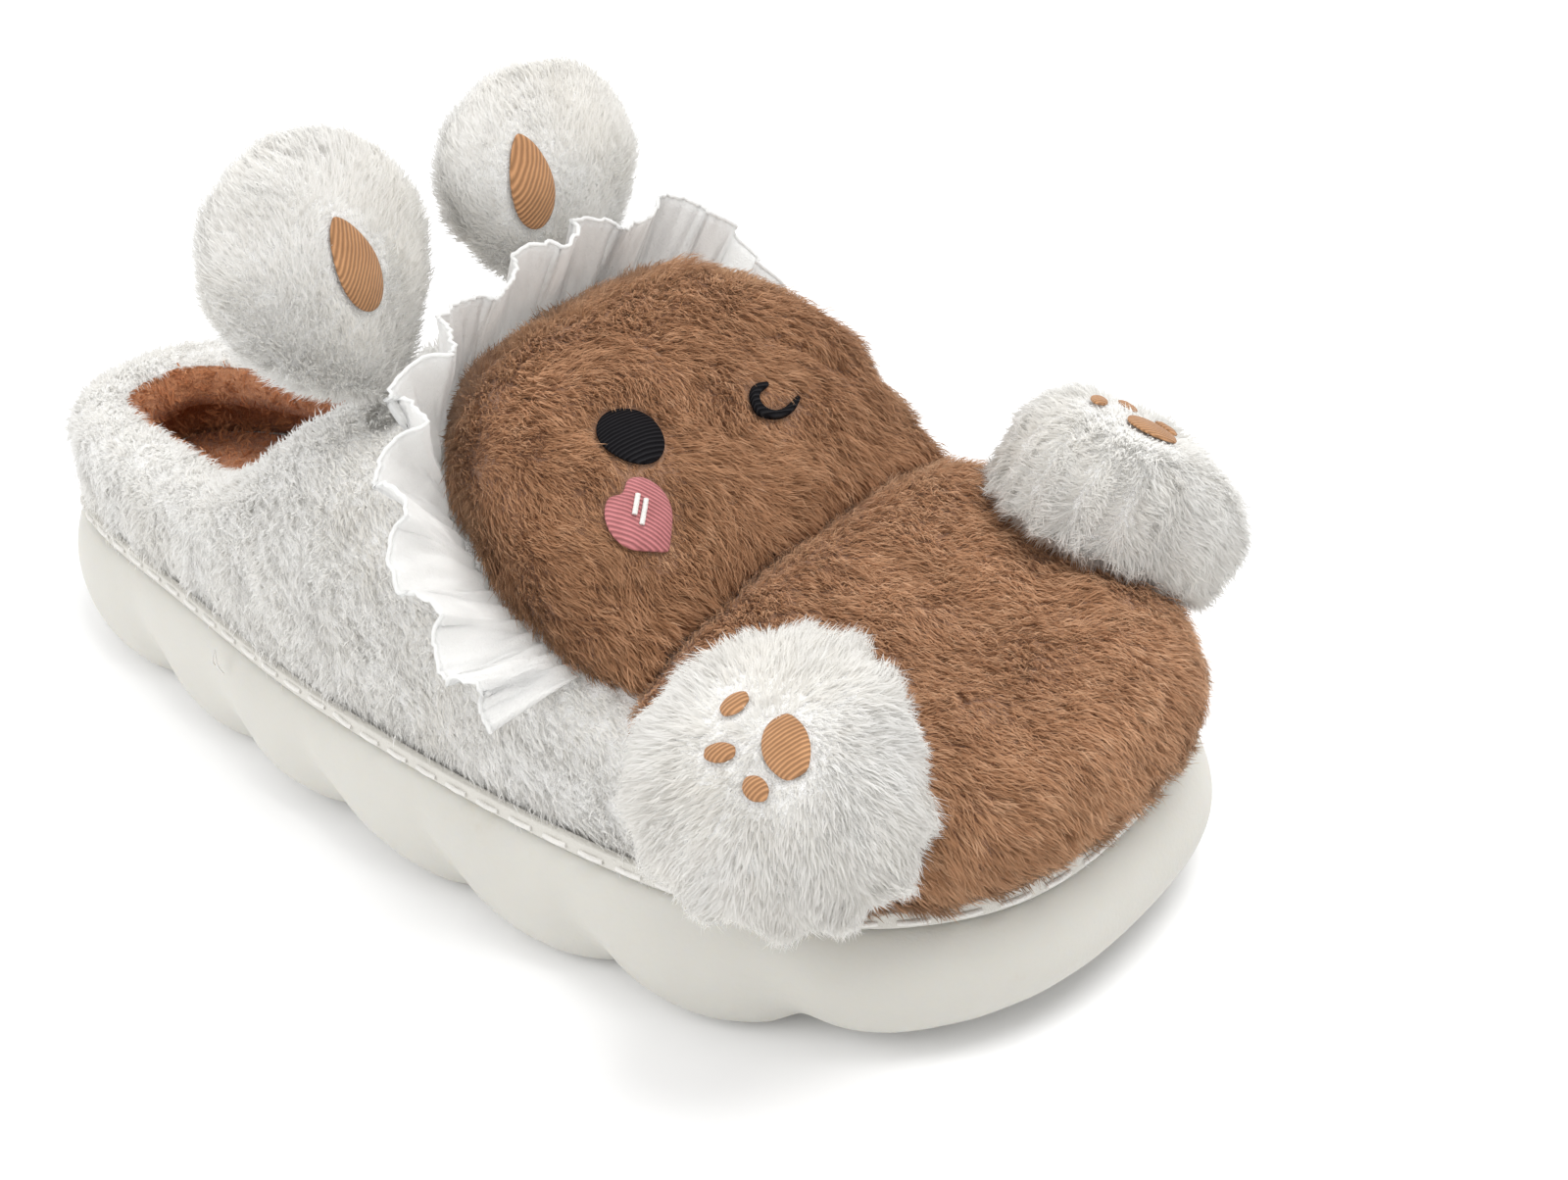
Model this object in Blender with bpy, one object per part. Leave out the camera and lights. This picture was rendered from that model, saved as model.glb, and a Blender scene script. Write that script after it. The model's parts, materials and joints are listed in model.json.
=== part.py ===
"""Plush animal slipper on a foam platform sole, right foot, standing on the floor.

X runs from heel to toe, Y to the inner side of the foot, Z up. Distances along the
shoe are measured from the heel tip, and the frame's origin is on the floor under the
middle of the heel. A place on the shoe's skin is (x, across): x is the distance from
the heel tip of the spot below it on the sole's edge, and across runs from -1 at the
outer edge over 0 on the ridge to 1 at the inner edge.
"""

import math

import bmesh
import bpy
from mathutils import Vector

mm = 0.001

# Sole
sole_length = 255 * mm
ball_width = 102 * mm
rim_height_heel = 27 * mm
rim_height_toe = 24 * mm
toe_spring = 6 * mm
heel_bevel = 2.5 * mm
arch_rise = 2.5 * mm
heel_centre = 32 * mm
toe_swing = 1.5 * mm
side_bulge = 3.5 * mm
sole_edge_radius = 9 * mm
petal_count = 5
petal_depth = 5 * mm
petal_slant = 20 * mm
tread_groove = 2.5 * mm
lip_width = 7 * mm
footbed_depth = 5 * mm

# Insole
insole_thickness = 7 * mm

# Upper
upper_wall = 4 * mm
instep_height = 81 * mm
heel_height = 53 * mm
collar_thickness = 16 * mm
binding_height = 3 * mm
binding_thickness = 1.4 * mm
binding_inset = 1 * mm

# Plush panels and what is sewn on them
belly_thickness = 5 * mm
fringe_length = 3 * mm
fringe_width = 5.2 * mm
head_height = 22 * mm
head_edge = 3 * mm
frill_width = 25 * mm
frill_thickness = 1.2 * mm
frill_wave = 3.5 * mm
frill_waves = 11
frill_lean_top = 9
frill_lean_end = 50
frill_taper = 0.25
frill_inner_end = 0.82
ear_width = 46 * mm
ear_length_outer = 49 * mm
ear_length_inner = 42.5 * mm
ear_thickness = 18 * mm
ear_lean_outer = 14
ear_lean_inner = 11
ear_patch_length = 15 * mm
ear_patch_width = 9 * mm
paw_size = 39 * mm
paw_height = 20 * mm
paw_stiffness = 0.6
paw_edge = 10 * mm
paw_tuft = 1 * mm
thread_height = 1 * mm

# Gap between pieces that touch, and under wide curved panels, whose facets sag a little
seat_gap = 0.3 * mm
panel_gap = 0.75 * mm

# Squareness of the sole's ends, of the upper's sections and of the head's outline
end_squareness = 2.87
section_squareness_outer = 3.1
section_squareness_inner = 3.9
head_squareness = 2.0

# Half width outside and inside the shoe's middle line, as shares of the ball width
outline_table = (
    (0.00, 0.360, 0.360),
    (0.15, 0.360, 0.360),
    (0.45, 0.466, 0.431),
    (0.70, 0.536, 0.490),
    (0.88, 0.580, 0.535),
    (1.00, 0.580, 0.535),
)

# Height of the upper's ridge as a share of the instep height, at shares of the length
ridge_table = (
    (0.00, 0.99),
    (0.25, 1.00),
    (0.46, 0.99),
    (0.55, 0.90),
    (0.65, 0.78),
    (0.75, 0.675),
    (0.83, 0.61),
    (0.91, 0.54),
    (1.00, 0.50),
)

# Height of the collar's edge, from the heel height (0) to the instep height (1)
end_middle_share = 0.2
throat_share = 0.465
collar_table = (
    (0.00, 0.00),
    (0.18, 0.00),
    (0.27, 0.06),
    (0.35, 0.33),
    (0.42, 0.74),
    (throat_share, 1.00),
)

# Height of the head's pad on the ridge as a share of the head height
head_back_share = 0.512
head_middle_share = 0.70
head_front_share = 0.745
head_reach_side = 0.515
head_reach_front = 0.485
head_shift = 0.045
head_table = (
    (head_back_share, 0.25),
    (0.53, 0.62),
    (0.56, 0.88),
    (0.60, 1.00),
    (0.65, 0.94),
    (0.69, 0.70),
    (0.72, 0.42),
    (head_front_share, 0.22),
)

# How far across the belly reaches behind and below the paws
belly_reach_table = (
    (head_front_share, 0.54),
    (0.79, 0.64),
    (0.84, 0.80),
    (0.88, 0.96),
    (0.90, 1.00),
)

# Sections of an ear from its seat to its tip: way along it, width share, thickness share
ear_table = (
    (0.00, 0.30, 0.30),
    (0.13, 0.38, 0.46),
    (0.31, 0.76, 0.82),
    (0.54, 1.00, 1.00),
    (0.73, 0.95, 0.97),
    (0.87, 0.72, 0.80),
    (0.96, 0.42, 0.50),
)

# The winking eye: distance from its centre, direction in degrees from the toe, line width
wink_table = (
    (3.9 * mm, 145, 1.2 * mm),
    (3.8 * mm, 185, 2.4 * mm),
    (3.4 * mm, 222, 2.8 * mm),
    (2.6 * mm, 268, 3.0 * mm),
    (1.8 * mm, 325, 2.2 * mm),
    (2.6 * mm, 25, 1.8 * mm),
    (4.4 * mm, 58, 1.8 * mm),
    (6.4 * mm, 78, 1.1 * mm),
)

# Middle of an ear's patch: way along the ear, and across it towards the shoe's outer side
ear_patch_outer = (0.52, -0.02)
ear_patch_inner = (0.55, 0.42)

# How far the pads sit towards the shoe's middle line, as shares of the paw's size
paw_pad_shift_outer = 0
paw_pad_shift_inner = 0.12

# Paw pads: distance from the pads' middle, direction in degrees from the toe, length,
# width and the pad's own turn; distances are shares of the paw's size
paw_pad_table = (
    ("heel", 0.115, 4, 0.28, 0.175, -60),
    ("toe_1", 0.176, 139, 0.13, 0.08, 60),
    ("toe_2", 0.13, 215, 0.13, 0.08, 20),
    ("toe_3", 0.178, 289, 0.12, 0.09, -30),
)


def clear_scene():
    for old in list(bpy.data.objects):
        bpy.data.objects.remove(old, do_unlink=True)


def material(name, colour, roughness, metallic=0.0):
    new = bpy.data.materials.new(name)
    new.use_nodes = True
    shader = new.node_tree.nodes["Principled BSDF"]
    shader.inputs["Base Color"].default_value = (*colour, 1.0)
    shader.inputs["Roughness"].default_value = roughness
    shader.inputs["Metallic"].default_value = metallic
    return new


def limit(value, low, high):
    return max(low, min(high, value))


def ease(value):
    """Go smoothly from 0 to 1 while the value does."""
    value = limit(value, 0.0, 1.0)
    return value * value * (3 - 2 * value)


def read_table(table, share, column=1):
    """Value of a column at a share, on a smooth curve through the rows."""
    keys = [row[0] for row in table]
    values = [row[column] for row in table]
    if share <= keys[0]:
        return values[0]
    if share >= keys[-1]:
        return values[-1]
    steps = [(values[i + 1] - values[i]) / (keys[i + 1] - keys[i]) for i in range(len(keys) - 1)]
    slopes = [steps[0]]
    for before, after in zip(steps, steps[1:]):
        same_way = before * after > 0
        slopes.append(2 * before * after / (before + after) if same_way else 0.0)
    slopes.append(steps[-1])
    i = next(k for k in range(len(keys) - 1) if share <= keys[k + 1])
    span = keys[i + 1] - keys[i]
    t = (share - keys[i]) / span
    start = (1 + 2 * t) * (1 - t) ** 2 * values[i] + t * (1 - t) ** 2 * span * slopes[i]
    end = t * t * (3 - 2 * t) * values[i + 1] + t * t * (t - 1) * span * slopes[i + 1]
    return start + end


# The shoe's outline and skin

def rim_height(x):
    return rim_height_heel + (rim_height_toe - rim_height_heel) * x / sole_length


def edge_angle(x):
    """Angle of a place on the sole's rounded outline, 0 at the heel and pi at the toe."""
    turn = 1 - 2 * limit(x / sole_length, 0.0, 1.0)
    return math.acos(math.copysign(abs(turn) ** (end_squareness / 2), turn))


def edge_spot(angle, side):
    """Point of the sole's outline at an angle, on the outer (-1) or inner (1) side."""
    if angle < 0 or angle > math.pi:
        side = -side
        angle = -angle if angle < 0 else 2 * math.pi - angle
    turn = math.cos(angle)
    share = 0.5 - 0.5 * math.copysign(abs(turn) ** (2 / end_squareness), turn)
    half = read_table(outline_table, share, 1 if side < 0 else 2) * ball_width
    rounding = abs(math.sin(angle)) ** (2 / end_squareness)
    return Vector((share * sole_length, side * half * rounding + toe_swing * share * share, 0))


def edge_point(x, side, inset):
    """Point of the sole's outline, moved inward by the inset."""
    angle = edge_angle(x)
    step = 0.01
    spot = edge_spot(angle, side)
    along = edge_spot(angle + step, side) - edge_spot(angle - step, side)
    outward = Vector((-side * along.y, side * along.x, 0)).normalized()
    return spot - outward * inset


def wall_base(x, side, inset):
    """Foot of the upper's outer skin, or of a skin inside it.

    At the round ends the inset turns towards the middle of the end, so that thick walls don't cross.
    """
    foot = edge_point(x, side, binding_inset + binding_thickness + seat_gap)
    end = end_middle_share * sole_length
    core = Vector((limit(foot.x, end, sole_length - end), toe_swing * (x / sole_length) ** 2, 0))
    straight = (edge_point(x, side, binding_inset + 1 * mm) - edge_point(x, side, binding_inset)).normalized()
    inward = (straight + (core - foot).normalized()).normalized()
    return foot + inward * inset


def ridge_x(x):
    """Place on the ridge that a place on the edge leads to: it stops short of the ends."""
    bend = 0.3 * sole_length
    heel_pull = max(bend - x, 0.0) ** 2 / bend * 0.33
    toe_pull = max(x - (sole_length - bend), 0.0) ** 2 / bend * 0.30
    return x + heel_pull - toe_pull


def section_power(x, side):
    """How a section's height and width follow from its angle: 1 for round, less for square.

    The two sides differ, and meet at the heel and toe tips.
    """
    apart = (section_squareness_inner - section_squareness_outer) / 2
    window = ease(min(x, sole_length - x) / (0.15 * sole_length))
    return 2 / (section_squareness_outer + apart + side * apart * window)


def shell(x, across, inset=0.0):
    """Outer skin of the upper, or a skin that lies inside it by the inset.

    Past the edge, where across is over 1, the skin runs on straight down.
    """
    side = -1 if across < 0 else 1
    angle = max(1 - abs(across), 0.0) * math.pi / 2
    base = wall_base(x, side, inset)
    base.z = rim_height(x) + seat_gap
    top_x = ridge_x(x)
    top_z = read_table(ridge_table, top_x / sole_length) * instep_height - inset
    reach = 1 - math.cos(angle) ** section_power(x, side)
    rise = math.sin(angle) ** section_power(x, side)
    spot = base.lerp(Vector((top_x, 0, top_z)), reach)
    spot.z = base.z + (top_z - base.z) * rise - max(abs(across) - 1, 0.0) * instep_height
    return spot


def across_at(x, height, side):
    """How far across the upper's skin has a height above the floor."""
    low = shell(x, side * 1.0).z
    high = shell(x, 0.0).z
    share = limit((height - low) / (high - low), 0.0, 1.0)
    return side * (1 - math.asin(share ** (1 / section_power(x, side))) / (math.pi / 2))


def skin_normal(skin, x, across):
    """Outward direction of a skin, from its slopes along and across the shoe."""
    dx = 0.4 * mm
    da = 0.01
    along = skin(limit(x + dx, 0.0, sole_length), across) - skin(limit(x - dx, 0.0, sole_length), across)
    over = skin(x, across + da) - skin(x, across - da)
    normal = along.cross(over)
    core = Vector((ridge_x(x), 0, rim_height(x)))
    if normal.dot(skin(x, across) - core) < 0:
        normal = -normal
    if abs(across) < da:
        normal.y = 0
    return normal.normalized()


def raised(skin, lift):
    """A skin that lies above another one by a lift that depends on the place."""
    def higher(x, across):
        return skin(x, across) + skin_normal(skin, x, across) * lift(x, across)
    return higher


# Places and meshes

def end_shares(widths):
    """Shares of the length at which the sole's round end has these shares of its width."""
    return [(1 - (1 - width ** end_squareness) ** (1 / end_squareness)) / 2 for width in widths]


def stations(step):
    """Distances from the heel tip, closer at the sole's round ends."""
    heel = [share * sole_length for share in end_shares((0, 0.22, 0.4, 0.55, 0.68))]
    toe = [sole_length - x for x in reversed(heel)]
    first = sole_length * 0.09
    count = max(2, round((sole_length - 2 * first) / step))
    middle = [first + (sole_length - 2 * first) * i / count for i in range(count + 1)]
    return heel + middle + toe


def even_stations(first, step):
    """Distances from the heel tip, from the first one to the toe tip, evenly spaced along the edge."""
    start = edge_angle(first)
    angles = [start + (math.pi - start) * i / 200 for i in range(201)]
    spots = [edge_spot(angle, -1) for angle in angles]
    run = [0.0]
    for a, b in zip(spots, spots[1:]):
        run.append(run[-1] + (b - a).length)
    count = round(run[-1] / step)
    marks = [run[-1] * i / count for i in range(count + 1)]
    picked = [min(range(201), key=lambda k, mark=mark: abs(run[k] - mark)) for mark in marks]
    return [spots[k].x for k in picked]


def edge_loop(places):
    """Places round the whole edge: heel tip, outer side, toe tip, inner side."""
    inner = places[1:-1]
    return [(places[0], -1)] + [(x, -1) for x in inner] + [(places[-1], 1)] + [(x, 1) for x in reversed(inner)]


def add_object(name, bm, finish, frame):
    bmesh.ops.remove_doubles(bm, verts=bm.verts, dist=0.01 * mm)
    bmesh.ops.dissolve_degenerate(bm, edges=bm.edges, dist=0.005 * mm)
    bmesh.ops.triangulate(bm, faces=[face for face in bm.faces if len(face.verts) > 3])
    bmesh.ops.recalc_face_normals(bm, faces=bm.faces)
    mesh = bpy.data.meshes.new(name)
    bm.to_mesh(mesh)
    bm.free()
    mesh.shade_smooth()
    mesh.set_sharp_from_angle(angle=math.radians(50))
    mesh.materials.append(finish)
    piece = bpy.data.objects.new(name, mesh)
    bpy.context.scene.collection.objects.link(piece)
    piece.parent = frame
    return piece


def add_rows(bm, rows):
    return [[bm.verts.new(point) for point in row] for row in rows]


def join_rows(bm, first, second, closed=False):
    count = len(first)
    for i in range(count if closed else count - 1):
        j = (i + 1) % count
        bm.faces.new([first[i], first[j], second[j], second[i]])


def stack_rows(bm, rows, closed=False):
    for first, second in zip(rows, rows[1:]):
        join_rows(bm, first, second, closed)


def add_slab(bm, outer, inner, last_border=True):
    """Close two point grids of the same size along their borders."""
    top = add_rows(bm, outer)
    bottom = add_rows(bm, inner)
    stack_rows(bm, top)
    stack_rows(bm, bottom)
    join_rows(bm, top[0], bottom[0])
    join_rows(bm, top[-1], bottom[-1])
    join_rows(bm, [row[0] for row in top], [row[0] for row in bottom])
    if last_border:
        join_rows(bm, [row[-1] for row in top], [row[-1] for row in bottom])


# Sole

first_groove_share = 0.21
last_groove_share = 0.879
steps_per_petal = 6


def petal_pitch():
    return (last_groove_share - first_groove_share) * sole_length / petal_count


def petal_dip(x):
    """1 in the groove between two petals, 0 in a petal's middle."""
    first = first_groove_share * sole_length
    nearest = limit(round((x - first) / petal_pitch()), 0, petal_count)
    distance = abs(x - first - nearest * petal_pitch())
    return 1 - math.sin(math.pi / 2 * min(distance / (petal_pitch() / 2), 1.0)) ** 0.8


def tread_dip(x):
    """1 in a tread groove and 0 on the flat lands between the grooves."""
    first = first_groove_share * sole_length
    nearest = limit(round((x - first) / petal_pitch()), 0, petal_count)
    distance = abs(x - first - nearest * petal_pitch())
    return max(1 - distance * steps_per_petal / petal_pitch(), 0.0)


def sole_stations():
    """Distances from the heel tip: a fixed number in each petal, so that its grooves lie on them."""
    step = petal_pitch() / steps_per_petal
    first = first_groove_share * sole_length - 5 * step
    middle = [first + i * step for i in range(petal_count * steps_per_petal + 9)]
    heel = [share * sole_length for share in end_shares((0, 0.22, 0.4, 0.55, 0.67))]
    toe = [sole_length * (1 - share) for share in end_shares((0.52, 0.38, 0.22, 0))]
    return [x for x in heel if x < first - step / 2] + middle + [x for x in toe if x > middle[-1] + step / 3]


def underside(x):
    """Height of the sole's underside: flat at heel and ball, raised at arch, toe and grooves."""
    share = x / sole_length
    spring = toe_spring * max((share - 0.80) / 0.20, 0.0) ** 2
    bevel = heel_bevel * max(1 - share / 0.07, 0.0) ** 2
    arch = arch_rise * ease(min((share - 0.30) / 0.10, (0.60 - share) / 0.10))
    return spring + bevel + arch + tread_groove * tread_dip(x)


def sole_side_row(loop, level, inset, bulge):
    """One row of the sole's side: level is the height on the side, 1 at the rim and 0 at the floor."""
    row = []
    for x, side in loop:
        top = rim_height(x)
        dip = petal_dip(x)
        floor = underside(x)
        window = math.sin(math.pi * x / sole_length) ** 0.5 if 0 < x < sole_length else 0.0
        shifted = x - petal_slant * level * window * ease(x / (0.2 * sole_length))
        groove = petal_depth * dip * max(1 - level, 0.0) ** 1.2
        point = edge_point(shifted, side, inset + groove - side_bulge * bulge)
        point.z = floor + (top - floor) * level
        row.append(point)
    return row


def inward_row(rows, loop, way, height):
    """A row part of the way from the given one to the shoe's ridge line, at the heights given."""
    row = []
    for (x, side), rim in zip(loop, rows):
        point = rim.lerp(Vector((ridge_x(x), 0, 0)), way)
        point.z = height(x, point.x)
        row.append(point)
    return row


def build_sole(frame):
    loop = edge_loop(sole_stations())
    radius_level = sole_edge_radius / rim_height_heel
    # Rows of the side above its rounded edge: level and bulge share
    rows = []
    for way, bulge in ((1.0, -0.5), (0.88, 0.0), (0.62, 0.65), (0.32, 1.0), (0.0, 1.0)):
        rows.append(sole_side_row(loop, radius_level + (1 - radius_level) * way, 0, bulge))
    for degrees in (28, 52, 74, 90):
        turn = math.radians(degrees)
        inset = sole_edge_radius * (1 - math.cos(turn))
        rows.append(sole_side_row(loop, radius_level * (1 - math.sin(turn)), inset, 1.0))
    contact = rows[-1]
    for way in (0.35, 1.0):
        rows.append(inward_row(contact, loop, way, lambda x, at: underside(x)))
    lip = []
    floor = []
    for x, side in loop:
        lip.append(edge_point(x, side, lip_width))
        lip[-1].z = rim_height(x)
        floor.append(edge_point(x, side, lip_width + seat_gap))
        floor[-1].z = rim_height(floor[-1].x) - footbed_depth
    inside = [inward_row(floor, loop, way, lambda x, at: rim_height(at) - footbed_depth) for way in (1.0, 0.5)]
    bm = bmesh.new()
    stack_rows(bm, add_rows(bm, inside + [floor, lip] + rows), closed=True)
    return add_object("sole", bm, material("cream_foam", (0.78, 0.745, 0.68), 0.55), frame)


# Insole

def build_insole(frame):
    loop = edge_loop(stations(14 * mm))
    edge_round = 1.5 * mm
    rows = []
    # Way to the ridge line, inset and height share of each row, from below to above
    for way, extra, level in ((1.0, 0, 0), (0.0, 0, 0), (0.0, 0, 0.75), (0.0, 1, 1), (0.5, 1, 1), (1.0, 1, 1)):
        rim = [edge_point(x, side, lip_width + 2 * seat_gap + extra * edge_round) for x, side in loop]
        base = seat_gap - footbed_depth + insole_thickness * level
        rows.append(inward_row(rim, loop, way, lambda x, at, base=base: rim_height(at) + base))
    bm = bmesh.new()
    stack_rows(bm, add_rows(bm, rows), closed=True)
    return add_object("insole", bm, material("brown_fleece", (0.26, 0.09, 0.035), 0.95), frame)


# Upper

def collar_across(x, side):
    """How far across the collar's edge lies, 0 where the vamp is whole."""
    share = x / sole_length
    if share > throat_share - 0.0001:
        return 0.0
    lift = read_table(collar_table, share)
    height = heel_height + (instep_height * 0.985 - heel_height) * lift - collar_thickness / 2 * (1 - lift)
    return across_at(x, height, side)


def collar_roll(outer, inner, loop, throat):
    """Rows of the padded roll that bridges the upper's two skins round the opening."""
    hole = [i for i, (x, side) in enumerate(loop) if x <= throat]
    start = next(k for k, i in enumerate(hole) if loop[i][1] == 1)
    order = hole[start:] + hole[:start]
    rows = [[outer[i][-1] for i in order], [], [], [], [inner[i][-1] for i in order]]
    for k, i in enumerate(order):
        run = outer[order[min(k + 1, len(order) - 1)]][-1] - outer[order[max(k - 1, 0)]][-1]
        across = outer[i][-1] - inner[i][-1]
        free = across.cross(run)
        if free.dot(outer[i][-1] - outer[i][-2]) < 0:
            free = -free
        if k in (0, len(order) - 1):
            free = Vector((-1, 0, 0.2))
        free = free.normalized() * across.length / 2
        middle = (outer[i][-1] + inner[i][-1]) / 2
        for row, degrees in zip(rows[1:4], (45, 90, 135)):
            turn = math.radians(degrees)
            row.append(middle + across / 2 * math.cos(turn) + free * math.sin(turn))
    return order, rows


def build_upper(frame, plush):
    throat = throat_share * sole_length
    places = sorted([x for x in stations(11 * mm) if abs(x - throat) > 4 * mm] + [throat])
    loop = edge_loop(places)
    columns = 7
    outer = []
    inner = []
    for x, side in loop:
        edge = collar_across(x, side)
        swell = ease(1 - (x - throat) / (18 * mm))
        ways = [j / columns for j in range(columns + 1)]
        places = [side + (edge - side) * way for way in ways]
        walls = [upper_wall + (collar_thickness - upper_wall) * swell * way ** 3 for way in ways]
        if edge == 0:
            places[-1] = 0.0
        outer.append([shell(x, across) for across in places])
        inner.append([shell(x, across if across else 0.0, wall) for across, wall in zip(places, walls)])
    order, roll = collar_roll(outer, inner, loop, throat)
    bm = bmesh.new()
    outer_grid = add_rows(bm, outer)
    inner_grid = add_rows(bm, inner)
    stack_rows(bm, outer_grid + outer_grid[:1])
    stack_rows(bm, inner_grid + inner_grid[:1])
    join_rows(bm, [line[0] for line in outer_grid], [line[0] for line in inner_grid], closed=True)
    middle_rows = add_rows(bm, roll[1:4])
    stack_rows(bm, [[outer_grid[i][-1] for i in order]] + middle_rows + [[inner_grid[i][-1] for i in order]])
    return add_object("upper", bm, plush, frame)


# Binding

def build_binding(frame):
    loop = edge_loop(stations(14 * mm))
    rows = []
    for lift, level in ((1, 0), (1, 0.5), (0.9, 1), (0, 1), (0, 0.5), (0, 0)):
        row = []
        for x, side in loop:
            height = rim_height(x) + seat_gap + binding_height * level
            across = across_at(x, height, side)
            outward = skin_normal(shell, x, across)
            outward.z = 0
            point = shell(x, across) + outward.normalized() * (seat_gap + binding_thickness * lift)
            point.z = height
            row.append(point)
        rows.append(row)
    bm = bmesh.new()
    grid = add_rows(bm, rows)
    stack_rows(bm, grid + grid[:1], closed=True)
    return add_object("binding", bm, material("cream_binding", (0.80, 0.77, 0.70), 0.8), frame)


# Belly

def belly_lift(x, across):
    return panel_gap + belly_thickness


belly_skin = raised(shell, belly_lift)


def belly_reach(x, side, lock):
    """How far across the belly reaches: a lock of its fringe hangs down to the binding."""
    lowest = rim_height(x) + seat_gap + binding_height + 2 * seat_gap + fringe_length * (1 - lock)
    return min(read_table(belly_reach_table, x / sole_length), abs(across_at(x, lowest, side)))


def build_belly(frame, plush):
    front = head_front_share * sole_length + 2 * seat_gap
    places = even_stations(front, fringe_width)
    loop = [(x, -1) for x in places] + [(x, 1) for x in reversed(places[:-1])]
    columns = 8
    outer = []
    inner = []
    for i, (x, side) in enumerate(loop):
        reach = belly_reach(x, side, i % 2)
        outer.append([])
        inner.append([])
        for j in range(columns + 1):
            across = side * reach * (1 - j / columns)
            border = min(j, (x - front) / (5 * mm))
            thick = belly_thickness * (0.45 + 0.55 * ease(border))
            skin = shell(x, across)
            normal = skin_normal(shell, x, across)
            outer[-1].append(skin + normal * (panel_gap + thick))
            inner[-1].append(skin + normal * panel_gap)
    bm = bmesh.new()
    add_slab(bm, outer, inner, last_border=False)
    return add_object("belly", bm, plush, frame)


# Head

def head_reach(x):
    """How far across the head's pad reaches: a round back and a nearly straight front."""
    share = x / sole_length
    back_way = limit((head_middle_share - share) / (head_middle_share - head_back_share), 0.0, 1.0)
    front_way = limit((share - head_middle_share) / (head_front_share - head_middle_share), 0.0, 1.0)
    reach = head_reach_side * (1 - back_way ** head_squareness) ** (1 / head_squareness)
    return reach + (head_reach_front - head_reach_side) * ease(front_way)


def head_lift(x, across):
    """Height of the head's pad over the upper, round towards its borders."""
    crown = read_table(head_table, x / sole_length) * head_height
    side_way = limit(abs(across - head_shift) / max(head_reach(x), 0.01), 0.0, 1.0)
    round_off = (1 - side_way ** 2.6) ** 0.62
    return panel_gap + head_edge + max(crown - head_edge, 0.0) * round_off


head_skin = raised(shell, head_lift)


def build_head(frame, plush):
    back = head_back_share * sole_length
    middle = head_middle_share * sole_length
    front = head_front_share * sole_length
    turns = [math.radians(12 + 78 * i / 9) for i in range(10)]
    places = [middle - (middle - back) * math.cos(turn) ** (2 / head_squareness) for turn in turns[:-1]]
    places += [middle, (middle + front) / 2, front]
    columns = 18
    outer = []
    inner = []
    for x in places:
        spots = [head_shift + head_reach(x) * (2 * j / columns - 1) for j in range(columns + 1)]
        outer.append([head_skin(x, across) for across in spots])
        inner.append([shell(x, across) + skin_normal(shell, x, across) * panel_gap for across in spots])
    bm = bmesh.new()
    add_slab(bm, outer, inner)
    return add_object("head", bm, plush, frame)


# Frill

def frill_spot(way):
    """Place where the frill is sewn on: way runs from -1 at its outer end over 0 at the top."""
    turn = abs(way) * math.pi / 2
    back = (head_back_share - 0.012) * sole_length
    middle = head_middle_share * sole_length
    x = middle - (middle - back) * math.cos(turn) ** (2 / head_squareness)
    reach = (head_reach_side + 0.03) * math.sin(turn) ** (2 / head_squareness)
    return x, head_shift + math.copysign(reach, way)


def build_frill(frame):
    steps = 56
    columns = 4
    front = []
    back = []
    for i in range(steps + 1):
        way = (1 + frill_inner_end) * i / steps - 1
        x, across = frill_spot(way)
        normal = skin_normal(shell, x, across)
        seat = shell(x, across) + normal * seat_gap
        near, far = frill_spot(limit(way - 0.02, -1, 1)), frill_spot(limit(way + 0.02, -1, 1))
        run = (shell(*far) - shell(*near)).normalized()
        away = normal.cross(run).normalized()
        if away.x > 0:
            away = -away
        tilt = math.radians(frill_lean_end * abs(way) ** 2.5 - frill_lean_top * (1 - abs(way)))
        rise = normal * math.cos(tilt) + away * math.sin(tilt)
        flat = run.cross(rise).normalized()
        swing = math.sin(math.pi * frill_waves * way + 0.6)
        width = frill_width * (1 - frill_taper * abs(way) ** 3)
        front.append([])
        back.append([])
        for j in range(columns + 1):
            level = j / columns
            wave = flat * swing * frill_wave * level ** 1.3
            shear = run * math.cos(math.pi * frill_waves * way * 2) * frill_wave * 0.3 * level
            point = seat + rise * width * level + wave + shear
            front[-1].append(point + flat * frill_thickness / 2)
            back[-1].append(point - flat * frill_thickness / 2)
    bm = bmesh.new()
    add_slab(bm, front, back)
    return add_object("frill", bm, material("white_cloth", (0.84, 0.85, 0.86), 0.85), frame)


# Ears

ear_seat_share = 0.477
ear_seat_across = 0.21


def ear_length(side):
    return ear_length_outer if side < 0 else ear_length_inner


def ear_axis(way, side):
    """Middle of an ear's section, and the directions to its side and to its front."""
    lean = math.radians(ear_lean_outer if side < 0 else ear_lean_inner)
    seat = shell(ear_seat_share * sole_length, side * ear_seat_across)
    up = Vector((-math.sin(lean), side * 0.10, math.cos(lean))).normalized()
    front = Vector((math.cos(lean), 0, math.sin(lean)))
    middle = seat + up * ear_length(side) * way
    return middle, front.cross(up).normalized(), front


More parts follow.
